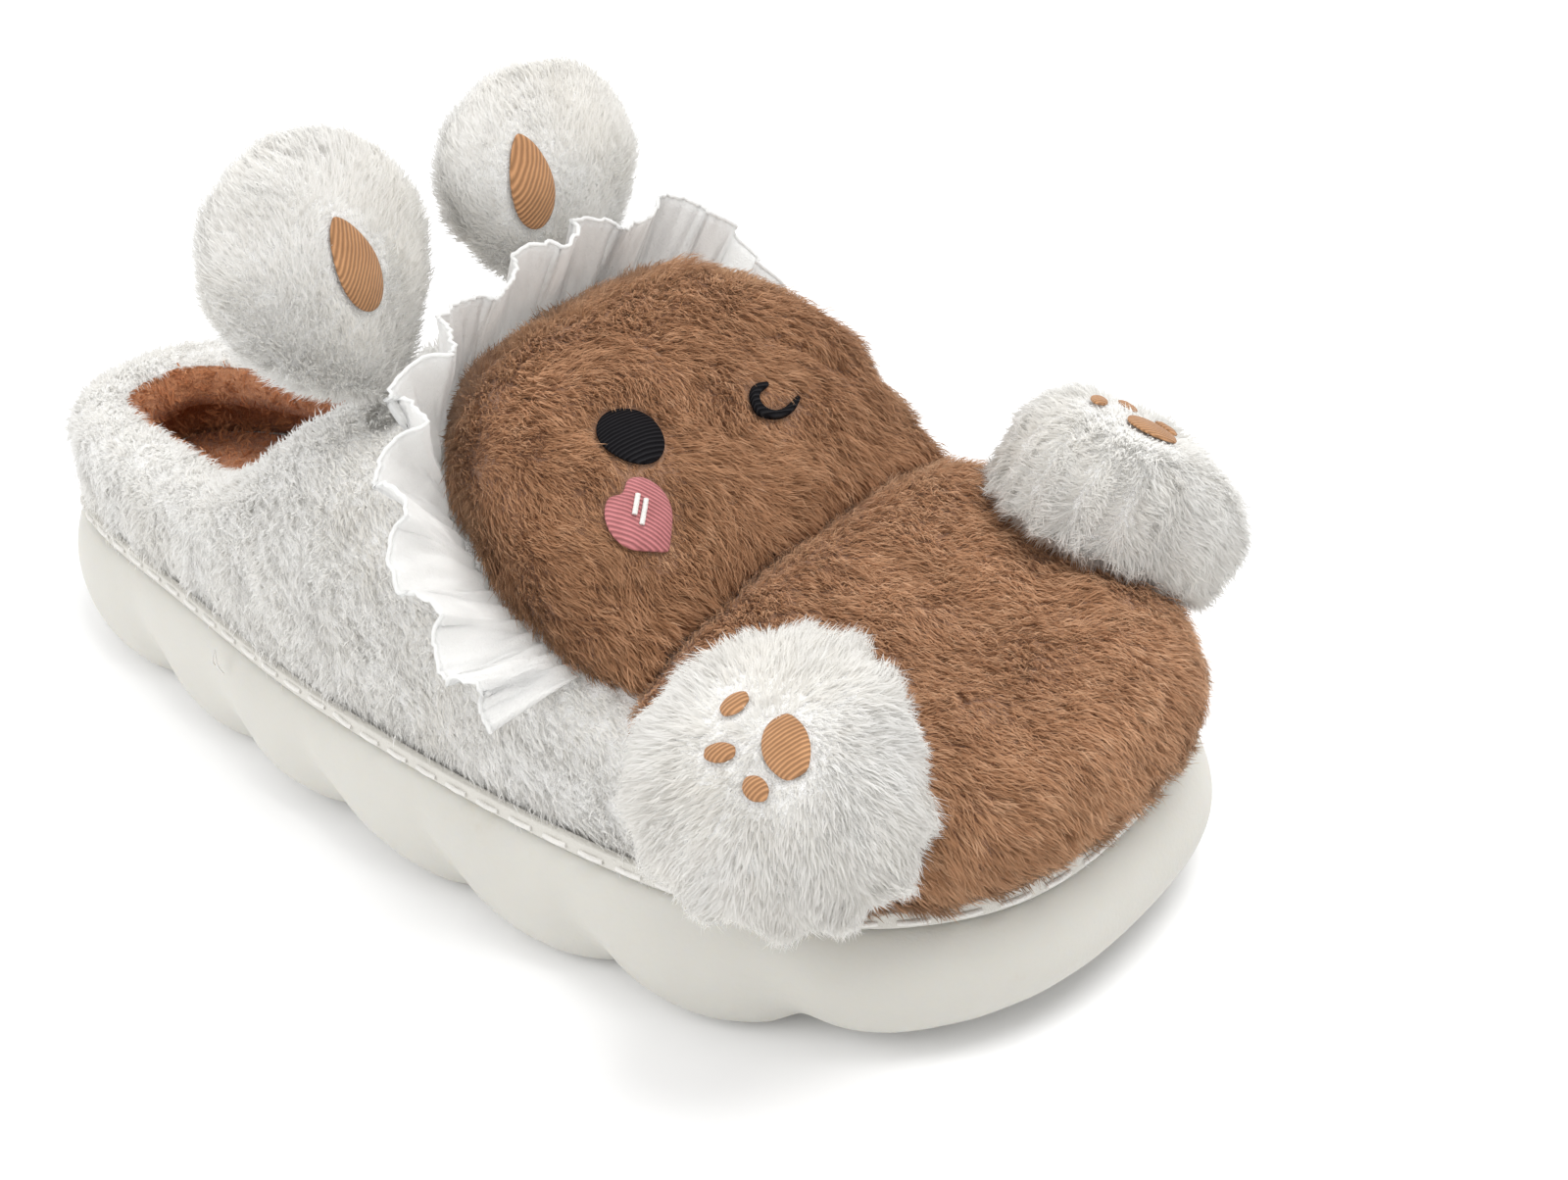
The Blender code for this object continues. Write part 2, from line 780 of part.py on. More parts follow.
def build_ear(name, side, frame, plush):
    spokes = 20
    rows = []
    seat_x = ear_seat_share * sole_length
    seat_across = side * ear_seat_across
    for ring in (0.4, 1.0):
        row = []
        for i in range(spokes):
            turn = 2 * math.pi * i / spokes
            x = seat_x + ring * math.cos(turn) * ear_thickness / 2 * ear_table[0][2]
            across = seat_across + ring * math.sin(turn) * ear_width / 2 * ear_table[0][1] / (75 * mm)
            row.append(shell(x, across) + skin_normal(shell, x, across) * seat_gap)
        rows.append(row)
    for way, width, thick in ear_table[1:]:
        middle, sideways, front = ear_axis(way, side)
        row = []
        for i in range(spokes):
            turn = 2 * math.pi * i / spokes
            over = sideways * math.sin(turn) * ear_width / 2 * width
            row.append(middle + over + front * math.cos(turn) * ear_thickness / 2 * thick)
        rows.append(row)
    tip, _, _ = ear_axis(1.0, side)
    bm = bmesh.new()
    grid = add_rows(bm, rows)
    stack_rows(bm, grid, closed=True)
    bm.faces.new(grid[0])
    top = bm.verts.new(tip)
    for i in range(spokes):
        bm.faces.new([grid[-1][i], grid[-1][(i + 1) % spokes], top])
    return add_object(name, bm, plush, frame)


def ear_front(way, over, side, lift):
    """Point over an ear's front: over runs from -1 to 1 across the ear's width."""
    middle, sideways, front = ear_axis(way, side)
    rows = [(low, high) for low, high in zip(ear_table, ear_table[1:]) if low[0] <= way <= high[0]]
    low, high = rows[0]
    mix = (way - low[0]) / (high[0] - low[0])
    width = low[1] + (high[1] - low[1]) * mix
    thick = low[2] + (high[2] - low[2]) * mix
    turn = math.asin(limit(over / width, -1.0, 1.0))
    return middle + sideways * over * ear_width / 2 + front * (math.cos(turn) * ear_thickness / 2 * thick + lift)


def build_ear_patch(name, side, frame, thread):
    """A teardrop on the ear's front, with its point towards the ear's tip."""
    spokes = 14
    middle_way, middle_over = ear_patch_outer if side < 0 else ear_patch_inner
    top = []
    bottom = []
    for ring in (0.5, 1.0):
        top.append([])
        bottom.append([])
        for i in range(spokes):
            angle = 2 * math.pi * i / spokes
            reach = ring * (1 + 0.35 * max(math.cos(angle), 0.0) ** 3)
            way = middle_way + math.cos(angle) * reach * ear_patch_length / 2 / ear_length(side)
            over = middle_over + math.sin(angle) * ring * ear_patch_width / ear_width
            bottom[-1].append(ear_front(way, over, side, seat_gap))
            top[-1].append(ear_front(way, over, side, seat_gap + stitched(ring)))
    bm = bmesh.new()
    grid = add_rows(bm, top[::-1] + bottom)
    stack_rows(bm, grid[:2], closed=True)
    stack_rows(bm, grid[2:], closed=True)
    join_rows(bm, grid[0], grid[-1], closed=True)
    bm.faces.new(grid[1])
    bm.faces.new(grid[2])
    return add_object(name, bm, thread, frame)


# Paws and embroidery: pads whose back follows the skin that they are sewn to

def across_over(skin, x, spot, over, distance):
    """How far across a skin reaches a distance from a spot, in the direction over it."""
    low, high = -1.0, 1.0
    for _ in range(26):
        middle = (low + high) / 2
        if (skin(x, middle) - spot).dot(over) < distance:
            low = middle
        else:
            high = middle
    return (low + high) / 2


def pad_spot(skin, centre, angle, distance):
    """Place on the skin at a distance from the centre, at an angle from the toe's direction."""
    x, across = centre
    dx = 0.5 * mm
    spot = skin(x, across)
    normal = skin_normal(skin, x, across)
    along = (skin(x + dx, across) - skin(x - dx, across)).normalized()
    over = normal.cross(along)
    away = x + distance * math.cos(angle) * 2 * dx / (skin(x + dx, across) - skin(x - dx, across)).length
    return away, across_over(skin, away, spot, over, distance * math.sin(angle))


def build_pad(name, skin, centre, outline, dome, rings, spokes, finish, frame, stiffness=0.0, gap=seat_gap):
    """A closed pad: outline gives its radius at an angle, dome its height at a share of the radius.

    A stiffness of 0 follows the skin, and 1 is a flat pad that touches it at the centre.
    """
    top = []
    bottom = []
    seat = skin(*centre)
    facing = skin_normal(skin, *centre)
    for ring in rings:
        top.append([])
        bottom.append([])
        for i in range(spokes):
            angle = 2 * math.pi * i / spokes
            x, across = pad_spot(skin, centre, angle, outline(angle) * ring)
            normal = skin_normal(skin, x, across).lerp(facing, stiffness).normalized()
            base = skin(x, across)
            base += facing * (seat - base).dot(facing) * stiffness + normal * gap
            bottom[-1].append(base)
            top[-1].append(base + normal * dome(ring))
    bm = bmesh.new()
    grid = add_rows(bm, top[::-1] + bottom)
    stack_rows(bm, grid[:len(rings)], closed=True)
    stack_rows(bm, grid[len(rings):], closed=True)
    join_rows(bm, grid[0], grid[-1], closed=True)
    bm.faces.new(grid[len(rings) - 1])
    bm.faces.new(grid[len(rings)])
    return add_object(name, bm, finish, frame)


def paw_centre(side):
    return 0.866 * sole_length, side * 0.56


def paw_radius(angle):
    return paw_size / 2 * (1 + 0.03 * math.cos(2 * angle)) + paw_tuft * math.cos(14 * angle)


def paw_dome(ring):
    return paw_edge + (paw_height - paw_edge) * (1 - ring ** 3) ** 0.5


def paw_skin_for(side):
    """The front of a paw as a skin, for what is sewn to it."""
    centre = paw_centre(side)
    seat = belly_skin(*centre)
    facing = skin_normal(belly_skin, *centre)

    def skin(x, across):
        base = belly_skin(x, across)
        ring = limit((base - seat).length / (paw_size / 2), 0.0, 1.0)
        normal = skin_normal(belly_skin, x, across).lerp(facing, paw_stiffness).normalized()
        base += facing * (seat - base).dot(facing) * paw_stiffness
        return base + normal * (panel_gap + paw_dome(ring))
    return skin


def oval(length, width, turn=0.0):
    """Radius of an oval patch, turned by an angle in degrees."""
    def radius(angle):
        local = angle - math.radians(turn)
        return length * width / 2 / math.hypot(width * math.cos(local), length * math.sin(local))
    return radius


def heart(size):
    """Radius of a heart that points to the toe."""
    def radius(angle):
        away = abs(math.atan2(math.sin(angle), math.cos(angle)))
        return size / 2 * (0.72 + 0.42 * (away / math.pi) ** 1.2 + 0.30 * max(1 - away / 0.5, 0.0)
                           - 0.42 * max(1 - (math.pi - away) / 0.45, 0.0))
    return radius


def stitched(ring):
    return thread_height * (1 - 0.5 * ring ** 2)


def build_paws(frame, plush, thread):
    for name, side in (("paw_right", -1), ("paw_left", 1)):
        centre = paw_centre(side)
        build_pad(name, belly_skin, centre, paw_radius, paw_dome, (0.35, 0.66, 0.88, 1.0), 28, plush, frame,
                  paw_stiffness, panel_gap)
        skin = paw_skin_for(side)
        shift = paw_pad_shift_outer if side < 0 else paw_pad_shift_inner
        middle = pad_spot(skin, centre, -side * math.pi / 2, shift * paw_size) if shift else centre
        for pad, distance, direction, length, width, turn in paw_pad_table:
            spot = pad_spot(skin, middle, side * math.radians(-direction), distance * paw_size)
            shape = oval(length * paw_size, width * paw_size, -side * turn)
            build_pad(name + "_" + pad, skin, spot, shape, stitched, (0.55, 1.0), 10, thread, frame)


def build_stroke(name, skin, centre, table, finish, frame):
    """A raised line on a skin: rows of distance from the centre, direction and width."""
    places = [pad_spot(skin, centre, math.radians(direction), distance) for distance, direction, _ in table]
    rows = []
    for i, (place, row) in enumerate(zip(places, table)):
        before = skin(*places[max(i - 1, 0)])
        after = skin(*places[min(i + 1, len(places) - 1)])
        normal = skin_normal(skin, *place)
        sideways = normal.cross(after - before).normalized() * row[2] / 2
        seat = skin(*place) + normal * seat_gap
        top = seat + normal * thread_height
        rows.append([seat + sideways, top + sideways * 0.6, top - sideways * 0.6, seat - sideways])
    bm = bmesh.new()
    grid = add_rows(bm, rows)
    stack_rows(bm, grid, closed=True)
    bm.faces.new(grid[0])
    bm.faces.new(grid[-1])
    return add_object(name, bm, finish, frame)


def build_face(frame):
    black = material("black_thread", (0.012, 0.012, 0.014), 0.6)
    pink = material("pink_thread", (0.80, 0.27, 0.30), 0.6)
    eye = (0.652 * sole_length, -0.10)
    wink = (0.683 * sole_length, 0.032)
    cheek = (0.690 * sole_length, -0.18)
    build_pad("eye_open", head_skin, eye, oval(12 * mm, 10 * mm, 20), stitched, (0.55, 1.0), 16, black, frame)
    build_stroke("eye_wink", head_skin, wink, wink_table, black, frame)
    build_pad("cheek_heart", head_skin, cheek, heart(13 * mm), stitched, (0.55, 1.0), 18, pink, frame)


def build_slipper():
    clear_scene()
    frame = bpy.data.objects.new("shoe", None)
    bpy.context.scene.collection.objects.link(frame)
    frame.location = (-heel_centre, 0, 0)
    white_plush = material("white_plush", (0.80, 0.80, 0.78), 0.95)
    brown_plush = material("brown_plush", (0.38, 0.20, 0.11), 0.95)
    tan_thread = material("tan_thread", (0.60, 0.33, 0.14), 0.6)
    build_sole(frame)
    build_insole(frame)
    build_upper(frame, white_plush)
    build_binding(frame)
    build_belly(frame, brown_plush)
    build_head(frame, brown_plush)
    build_frill(frame)
    build_ear("ear_right", -1, frame, white_plush)
    build_ear("ear_left", 1, frame, white_plush)
    build_ear_patch("ear_patch_right", -1, frame, tan_thread)
    build_ear_patch("ear_patch_left", 1, frame, tan_thread)
    build_paws(frame, white_plush, tan_thread)
    build_face(frame)


build_slipper()
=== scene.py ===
import json
import math

import bmesh
import bpy
import numpy as np
from mathutils import Matrix, Vector
from mathutils.bvhtree import BVHTree
from mathutils.kdtree import KDTree

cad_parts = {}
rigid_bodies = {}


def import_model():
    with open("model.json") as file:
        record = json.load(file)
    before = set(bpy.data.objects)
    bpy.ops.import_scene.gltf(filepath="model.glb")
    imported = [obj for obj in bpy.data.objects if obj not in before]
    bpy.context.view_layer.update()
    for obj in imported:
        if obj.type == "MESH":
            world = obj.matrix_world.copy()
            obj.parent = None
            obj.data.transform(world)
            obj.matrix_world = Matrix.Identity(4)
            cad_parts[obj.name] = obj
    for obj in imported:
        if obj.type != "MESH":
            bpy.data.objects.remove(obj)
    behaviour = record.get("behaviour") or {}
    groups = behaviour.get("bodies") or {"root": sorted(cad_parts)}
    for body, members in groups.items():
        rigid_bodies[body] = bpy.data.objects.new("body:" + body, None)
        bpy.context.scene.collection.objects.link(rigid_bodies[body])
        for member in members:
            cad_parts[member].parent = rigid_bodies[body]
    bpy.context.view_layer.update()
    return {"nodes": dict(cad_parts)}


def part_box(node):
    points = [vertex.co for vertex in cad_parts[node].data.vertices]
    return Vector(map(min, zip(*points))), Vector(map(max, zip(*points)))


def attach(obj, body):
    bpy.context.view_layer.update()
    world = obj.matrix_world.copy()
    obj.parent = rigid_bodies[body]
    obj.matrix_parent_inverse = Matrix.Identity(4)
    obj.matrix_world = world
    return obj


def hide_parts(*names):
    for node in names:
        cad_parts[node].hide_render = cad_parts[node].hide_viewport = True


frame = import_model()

# A plush animal slipper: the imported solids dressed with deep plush, fleece, a ruffled collar,
# embroidery and a moulded foam sole. X runs to the toe, Y to the inner side, Z up.

cadNodes = frame["nodes"]
scene = bpy.context.scene
mm = 0.001
print("stage: frame loaded,", len(cadNodes), "nodes")


# Small helpers for node trees

def newFinish(name, roughness, sheen=0.0, sheenRoughness=0.5):
    finish = bpy.data.materials.new(name)
    finish.use_nodes = True
    shader = finish.node_tree.nodes["Principled BSDF"]
    shader.inputs["Roughness"].default_value = roughness
    shader.inputs["Sheen Weight"].default_value = sheen
    shader.inputs["Sheen Roughness"].default_value = sheenRoughness
    return finish, shader


def addNode(finish, kind, **settings):
    node = finish.node_tree.nodes.new(kind)
    for key, value in settings.items():
        setattr(node, key, value)
    return node


def wire(finish, source, target):
    finish.node_tree.links.new(source, target)


def restCoords(finish, stretch=(1, 1, 1)):
    coords = addNode(finish, "ShaderNodeTexCoord")
    mapping = addNode(finish, "ShaderNodeMapping")
    mapping.inputs["Scale"].default_value = stretch
    wire(finish, coords.outputs["Object"], mapping.inputs["Vector"])
    return mapping.outputs["Vector"]


def noiseNode(finish, vector, scale, detail=3.0, roughness=0.55):
    noise = addNode(finish, "ShaderNodeTexNoise")
    noise.inputs["Scale"].default_value = scale
    noise.inputs["Detail"].default_value = detail
    noise.inputs["Roughness"].default_value = roughness
    wire(finish, vector, noise.inputs["Vector"])
    return noise.outputs["Fac"]


def rampNode(finish, value, stops):
    ramp = addNode(finish, "ShaderNodeValToRGB")
    marks = ramp.color_ramp.elements
    while len(marks) < len(stops):
        marks.new(0.5)
    for mark, (place, colour) in zip(marks, stops):
        mark.position = place
        mark.color = (*colour, 1.0)
    wire(finish, value, ramp.inputs["Fac"])
    return ramp.outputs["Color"]


def mixNode(finish, amount, first, second, blend="MIX"):
    mix = addNode(finish, "ShaderNodeMix", data_type="RGBA", blend_type=blend)
    if isinstance(amount, float):
        mix.inputs[0].default_value = amount
    else:
        wire(finish, amount, mix.inputs[0])
    for socket, colour in ((mix.inputs[6], first), (mix.inputs[7], second)):
        if isinstance(colour, tuple):
            socket.default_value = (*colour, 1.0)
        else:
            wire(finish, colour, socket)
    return mix.outputs[2]


def bumpNode(finish, shader, height, distance, strength=1.0):
    bump = addNode(finish, "ShaderNodeBump")
    bump.inputs["Distance"].default_value = distance
    bump.inputs["Strength"].default_value = strength
    wire(finish, height, bump.inputs["Height"])
    wire(finish, bump.outputs["Normal"], shader.inputs["Normal"])


# Finishes

def plushFinish(name, shades):
    # Hair colour goes from a painted shade at the root to the hair's own tone at the tip, with a random
    # tone for each hair and soft patches.
    # Each hair is lit as the coat that it is part of, and some light passes through it.
    finish, shader = newFinish(name, 0.9, shades["sheen"], 0.45)
    hair = addNode(finish, "ShaderNodeAttribute", attribute_name="hair")
    parts = addNode(finish, "ShaderNodeSeparateColor")
    wire(finish, hair.outputs["Color"], parts.inputs["Color"])
    tone = rampNode(finish, parts.outputs["Red"],
                    ((0.0, shades["dark"]), (0.5, shades["mid"]), (1.0, shades["light"])))
    # The root colour darkens each hair towards its root: painted shade between the hairs.
    root = mixNode(finish, 1.0, tone, shades["root"], "MULTIPLY")
    along = mixNode(finish, parts.outputs["Green"], root, tone)
    patches = noiseNode(finish, restCoords(finish, shades["streak"]), shades["patchScale"], 4.0)
    tint = rampNode(finish, patches, ((0.30, shades["patchDark"]), (0.68, (1.0, 1.0, 1.0))))
    colour = mixNode(finish, 1.0, along, tint, "MULTIPLY")
    coat = addNode(finish, "ShaderNodeAttribute", attribute_name="coat")
    turn = addNode(finish, "ShaderNodeVectorTransform", vector_type="NORMAL",
                   convert_from="OBJECT", convert_to="WORLD")
    wire(finish, coat.outputs["Vector"], turn.inputs["Vector"])
    glow = addNode(finish, "ShaderNodeBsdfTranslucent")
    blend = addNode(finish, "ShaderNodeMixShader")
    blend.inputs[0].default_value = shades["through"]
    wire(finish, colour, shader.inputs["Base Color"])
    wire(finish, colour, glow.inputs["Color"])
    wire(finish, turn.outputs["Vector"], shader.inputs["Normal"])
    # The coat glows a little with its own colour at the strength fill: painted light standing in for light
    # scattered between the hairs, so it glows faintly even in a dark scene.
    wire(finish, colour, shader.inputs["Emission Color"])
    shader.inputs["Emission Strength"].default_value = shades["fill"]
    wire(finish, shader.outputs["BSDF"], blend.inputs[1])
    wire(finish, glow.outputs["BSDF"], blend.inputs[2])
    wire(finish, blend.outputs["Shader"], finish.node_tree.nodes["Material Output"].inputs["Surface"])
    return finish


def peltFinish(name, shades):
    # The cloth under the hairs, seen only between them
    finish, shader = newFinish(name, 0.95, 0.2)
    vector = restCoords(finish)
    fine = noiseNode(finish, vector, 900, 4.0, 0.7)
    colour = rampNode(finish, fine, ((0.3, shades["dark"]), (0.7, shades["mid"])))
    wire(finish, colour, shader.inputs["Base Color"])
    bumpNode(finish, shader, fine, 0.0012)
    return finish


# In each set of shades, root darkens the hairs at their roots (painted shade between the hairs), and fill
# makes the coat glow with its own colour (painted light).
whiteShades = {
    "dark": (0.89, 0.88, 0.86), "mid": (0.92, 0.915, 0.90), "light": (0.95, 0.95, 0.94),
    "root": (0.95, 0.94, 0.92), "sheen": 0.06, "streak": (1, 1, 1), "patchScale": 45,
    "patchDark": (0.975, 0.965, 0.945), "through": 0.6, "fill": 0.11,
}
brownShades = {
    "dark": (0.42, 0.22, 0.11), "mid": (0.62, 0.36, 0.205), "light": (0.80, 0.53, 0.34),
    "root": (0.78, 0.72, 0.67), "sheen": 0.12, "streak": (0.4, 1, 1), "patchScale": 95,
    "patchDark": (0.78, 0.74, 0.70), "through": 0.4, "fill": 0.02,
}
fleeceShades = {
    "dark": (0.42, 0.15, 0.065), "mid": (0.68, 0.31, 0.15), "light": (0.82, 0.46, 0.26),
    "root": (0.75, 0.66, 0.60), "sheen": 0.08, "streak": (1, 1, 1), "patchScale": 140,
    "patchDark": (0.70, 0.62, 0.56), "through": 0.4, "fill": 0.20,
}
whiteFur = plushFinish("whiteFur", whiteShades)
brownFur = plushFinish("brownFur", brownShades)
fleeceFur = plushFinish("fleeceFur", fleeceShades)
whitePelt = peltFinish("whitePelt", {"dark": (0.84, 0.83, 0.81), "mid": (0.92, 0.915, 0.90)})
brownPelt = peltFinish("brownPelt", {"dark": (0.24, 0.12, 0.062), "mid": (0.38, 0.20, 0.115)})
fleecePelt = peltFinish("fleecePelt", {"dark": (0.36, 0.14, 0.06), "mid": (0.58, 0.26, 0.12)})


def threadFinish(name, colour, turn, sheen=0.1, stitchesPerMetre=1900, shine=0.15):
    # Satin stitches: parallel threads that lie close together
    finish, shader = newFinish(name, 0.55, sheen)
    shader.inputs["Specular IOR Level"].default_value = shine
    coords = addNode(finish, "ShaderNodeTexCoord")
    mapping = addNode(finish, "ShaderNodeMapping")
    mapping.inputs["Rotation"].default_value = turn
    wire(finish, coords.outputs["Object"], mapping.inputs["Vector"])
    vector = mapping.outputs["Vector"]
    threads = addNode(finish, "ShaderNodeTexWave", wave_type="BANDS", bands_direction="X")
    threads.inputs["Scale"].default_value = stitchesPerMetre / 3.2
    threads.inputs["Distortion"].default_value = 0.8
    threads.inputs["Detail"].default_value = 2.0
    wire(finish, vector, threads.inputs["Vector"])
    worn = noiseNode(finish, vector, 260, 4.0)
    # dark and lit are painted shade in the grooves between threads and painted highlight along each thread,
    # laid over the thread bump.
    dark = tuple(c * 0.68 for c in colour)
    lit = tuple(min(c * 1.25 + 0.01, 1.0) for c in colour)
    shade = rampNode(finish, threads.outputs["Fac"], ((0.0, dark), (0.45, colour), (1.0, lit)))
    patch = rampNode(finish, worn, ((0.3, (0.82, 0.80, 0.78)), (0.7, (1.0, 1.0, 1.0))))
    wire(finish, mixNode(finish, 1.0, shade, patch, "MULTIPLY"), shader.inputs["Base Color"])
    bumpNode(finish, shader, threads.outputs["Fac"], 0.00018)
    return finish


tanThread = threadFinish("tanThread", (0.42, 0.215, 0.10), (0.3, 0.5, 0.8))
padThread = threadFinish("padThread", (0.44, 0.23, 0.11), (0.0, 0.0, 0.5))
blackThread = threadFinish("blackThread", (0.006, 0.0055, 0.007), (0.0, 0.0, 0.25), 0.0, shine=0.05)
pinkThread = threadFinish("pinkThread", (0.47, 0.168, 0.175), (0.0, 0.0, 0.9))


def clothFinish(name, colour, weaveScale, through, fill=0.0):
    finish, shader = newFinish(name, 0.8, 0.25, 0.4)
    vector = restCoords(finish)
    weave = noiseNode(finish, vector, weaveScale, 2.0, 0.6)
    crush = noiseNode(finish, vector, 120, 4.0, 0.6)
    shade = rampNode(finish, crush, ((0.3, tuple(c * 0.94 for c in colour)), (0.7, colour)))
    wire(finish, shade, shader.inputs["Base Color"])
    # The cloth glows a little with its own colour at the strength fill: painted light.
    wire(finish, shade, shader.inputs["Emission Color"])
    shader.inputs["Emission Strength"].default_value = fill
    height = addNode(finish, "ShaderNodeMath", operation="ADD")
    wire(finish, weave, height.inputs[0])
    wire(finish, crush, height.inputs[1])
    bumpNode(finish, shader, height.outputs[0], 0.0004, 0.7)
    glow = addNode(finish, "ShaderNodeBsdfTranslucent")
    blend = addNode(finish, "ShaderNodeMixShader")
    blend.inputs[0].default_value = through
    wire(finish, shade, glow.inputs["Color"])
    wire(finish, shader.outputs["BSDF"], blend.inputs[1])
    wire(finish, glow.outputs["BSDF"], blend.inputs[2])
    wire(finish, blend.outputs["Shader"], finish.node_tree.nodes["Material Output"].inputs["Surface"])
    return finish


# The collar's cloth glows a little of itself (fill 0.16): painted light; the binding and the thread don't
# glow.
frillCloth = clothFinish("frillCloth", (0.88, 0.88, 0.87), 2600, 0.48, 0.16)
bindingCloth = clothFinish("bindingCloth", (0.64, 0.62, 0.57), 1800, 0.1)
threadCloth = clothFinish("threadCloth", (0.80, 0.78, 0.74), 3000, 0.1)


def foamFinish(name):
    # Soft moulded foam: satin, slightly see-through at thin edges, with a fine grain
    finish, shader = newFinish(name, 0.48)
    vector = restCoords(finish)
    grain = noiseNode(finish, vector, 1400, 3.0, 0.6)
    cloud = noiseNode(finish, vector, 28, 3.0, 0.5)
    tint = rampNode(finish, cloud, ((0.3, (0.50, 0.487, 0.445)), (0.7, (0.535, 0.523, 0.482))))
    # Random brownish blotches darken the foam here and there.
    blotchNoise = noiseNode(finish, vector, 75, 5.0, 0.7)
    brownBlotches = rampNode(finish, blotchNoise, ((0.62, (1.0, 1.0, 1.0)), (0.86, (0.93, 0.89, 0.83))))
    wire(finish, mixNode(finish, 1.0, tint, brownBlotches, "MULTIPLY"), shader.inputs["Base Color"])
    bumpNode(finish, shader, grain, 0.00012, 0.6)
    shader.inputs["Subsurface Weight"].default_value = 0.35
    shader.inputs["Subsurface Radius"].default_value = (0.010, 0.007, 0.004)
    shader.inputs["Specular IOR Level"].default_value = 0.42
    return finish


soleFoam = foamFinish("soleFoam")
print("stage: finishes made")


# Meshes from the frame

def addPiece(name, mesh, finishes, replaced=()):
    piece = bpy.data.objects.new(name, mesh)
    scene.collection.objects.link(piece)
    mesh.materials.clear()
    for finish in finishes:
        mesh.materials.append(finish)
    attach(piece, "root")
    if replaced:
        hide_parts(*replaced)
    return piece


def smoothCopy(nodeName, name, finishes, slotName, levels=2, creaseAngle=60, creaseStrength=0.75):
    # A rounded copy of a CAD node: its quads come back from the triangles and are subdivided
    node = cadNodes[nodeName]
    bm = bmesh.new()
    bm.from_mesh(node.data)
    bm.transform(node.matrix_world)
    bmesh.ops.remove_doubles(bm, verts=bm.verts, dist=0.01 * mm)
    bmesh.ops.join_triangles(bm, faces=bm.faces[:], angle_face_threshold=math.radians(45),
                             angle_shape_threshold=math.radians(80))
    crease = bm.edges.layers.float.new("crease_edge")
    for edge in bm.edges:
        if edge.calc_face_angle(0.0) > math.radians(creaseAngle):
            edge[crease] = creaseStrength
    mesh = bpy.data.meshes.new(name)
    bm.to_mesh(mesh)
    bm.free()
    piece = addPiece(name, mesh, finishes, (nodeName,))
    piece.modifiers.new("round", "SUBSURF").levels = levels
    graph = bpy.context.evaluated_depsgraph_get()
    fine = bpy.data.meshes.new_from_object(piece.evaluated_get(graph))
    piece.modifiers.clear()
    piece.data = fine
    fine.shade_smooth()
    return piece


def meshArrays(mesh):
    points = np.empty(len(mesh.vertices) * 3)
    mesh.vertices.foreach_get("co", points)
    normals = np.empty(len(mesh.vertices) * 3)
    mesh.vertices.foreach_get("normal", normals)
    mesh.calc_loop_triangles()
    corners = np.empty(len(mesh.loop_triangles) * 3, dtype=np.int32)
    mesh.loop_triangles.foreach_get("vertices", corners)
    return points.reshape(-1, 3), normals.reshape(-1, 3), corners.reshape(-1, 3)


def unit(vectors):
    return vectors / np.maximum(np.linalg.norm(vectors, axis=1, keepdims=True), 1e-9)


def softNoise(points, size, seed, waves=7):
    # Smooth values around 0 with a standard deviation of about 0.7, and lumps of the given size
    rng = np.random.default_rng(seed)
    total = np.zeros(len(points))
    for _ in range(waves):
        direction = rng.normal(size=3)
        direction /= np.linalg.norm(direction)
        rate = 2 * math.pi / (size * rng.uniform(0.7, 1.6))
        total += np.sin(points @ direction * rate + rng.uniform(0, 2 * math.pi))
    return total / waves ** 0.5


def ripple(piece, size, depth, seed):
    # Soft unevenness of stuffed plush
    points, normals, _ = meshArrays(piece.data)
    points = points + normals * (softNoise(points, size, seed) * depth)[:, None]
    piece.data.vertices.foreach_set("co", points.ravel())
    piece.data.update()


footSpace = {"toe": 0.165, "height": 0.034}  # where its middle line ends, and how high it lies


def outwardFrom(points):
    # Direction away from the middle line of the foot space
    away = points.copy()
    away[:, 0] = np.minimum(points[:, 0], 0.0) + np.maximum(points[:, 0] - footSpace["toe"], 0.0)
    away[:, 2] = points[:, 2] - footSpace["height"]
    return unit(away)


def treeOf(*pieces):
    trees = []
    for piece in pieces:
        bm = bmesh.new()
        bm.from_mesh(piece.data)
        trees.append(BVHTree.FromBMesh(bm))
        bm.free()
    return trees


def distanceTo(trees, points, reach):
    # Distance of each point to the nearest of the meshes, no more than the reach
    found = np.full(len(points), reach)
    for k, point in enumerate(points):
        for tree in trees:
            _, _, _, distance = tree.find_nearest(Vector(point), found[k])
            if distance is not None:
                found[k] = min(found[k], distance)
    return found


# Plush

def spread(skin, count, rng, weigh):
    # Random places on a skin, with the skin's own direction there
    points, normals, corners = meshArrays(skin.data)
    a, b, c = (points[corners[:, k]] for k in range(3))
    across = np.cross(b - a, c - a)
    areas = np.linalg.norm(across, axis=1) / 2
    shares = areas * (weigh((a + b + c) / 3, unit(across)) if weigh else 1.0)
    picked = rng.choice(len(areas), count, p=shares / shares.sum())
    u, v = rng.random((2, count, 1))
    folded = u + v > 1
    u, v = np.where(folded, 1 - u, u), np.where(folded, 1 - v, v)
    roots = a[picked] + (b - a)[picked] * u + (c - a)[picked] * v
    n = [normals[corners[picked, k]] for k in range(3)]
    return roots, unit(n[0] * (1 - u - v) + n[1] * u + n[2] * v)


def nearPatch(trees, boxes, points, reach):
    near = np.zeros(len(points), dtype=bool)
    for box in boxes:
        near |= ((points > box.min(0) - reach) & (points < box.max(0) + reach)).all(1)
    gap = np.full(len(points), reach)
    gap[near] = distanceTo(trees, points[near], reach)
    return gap


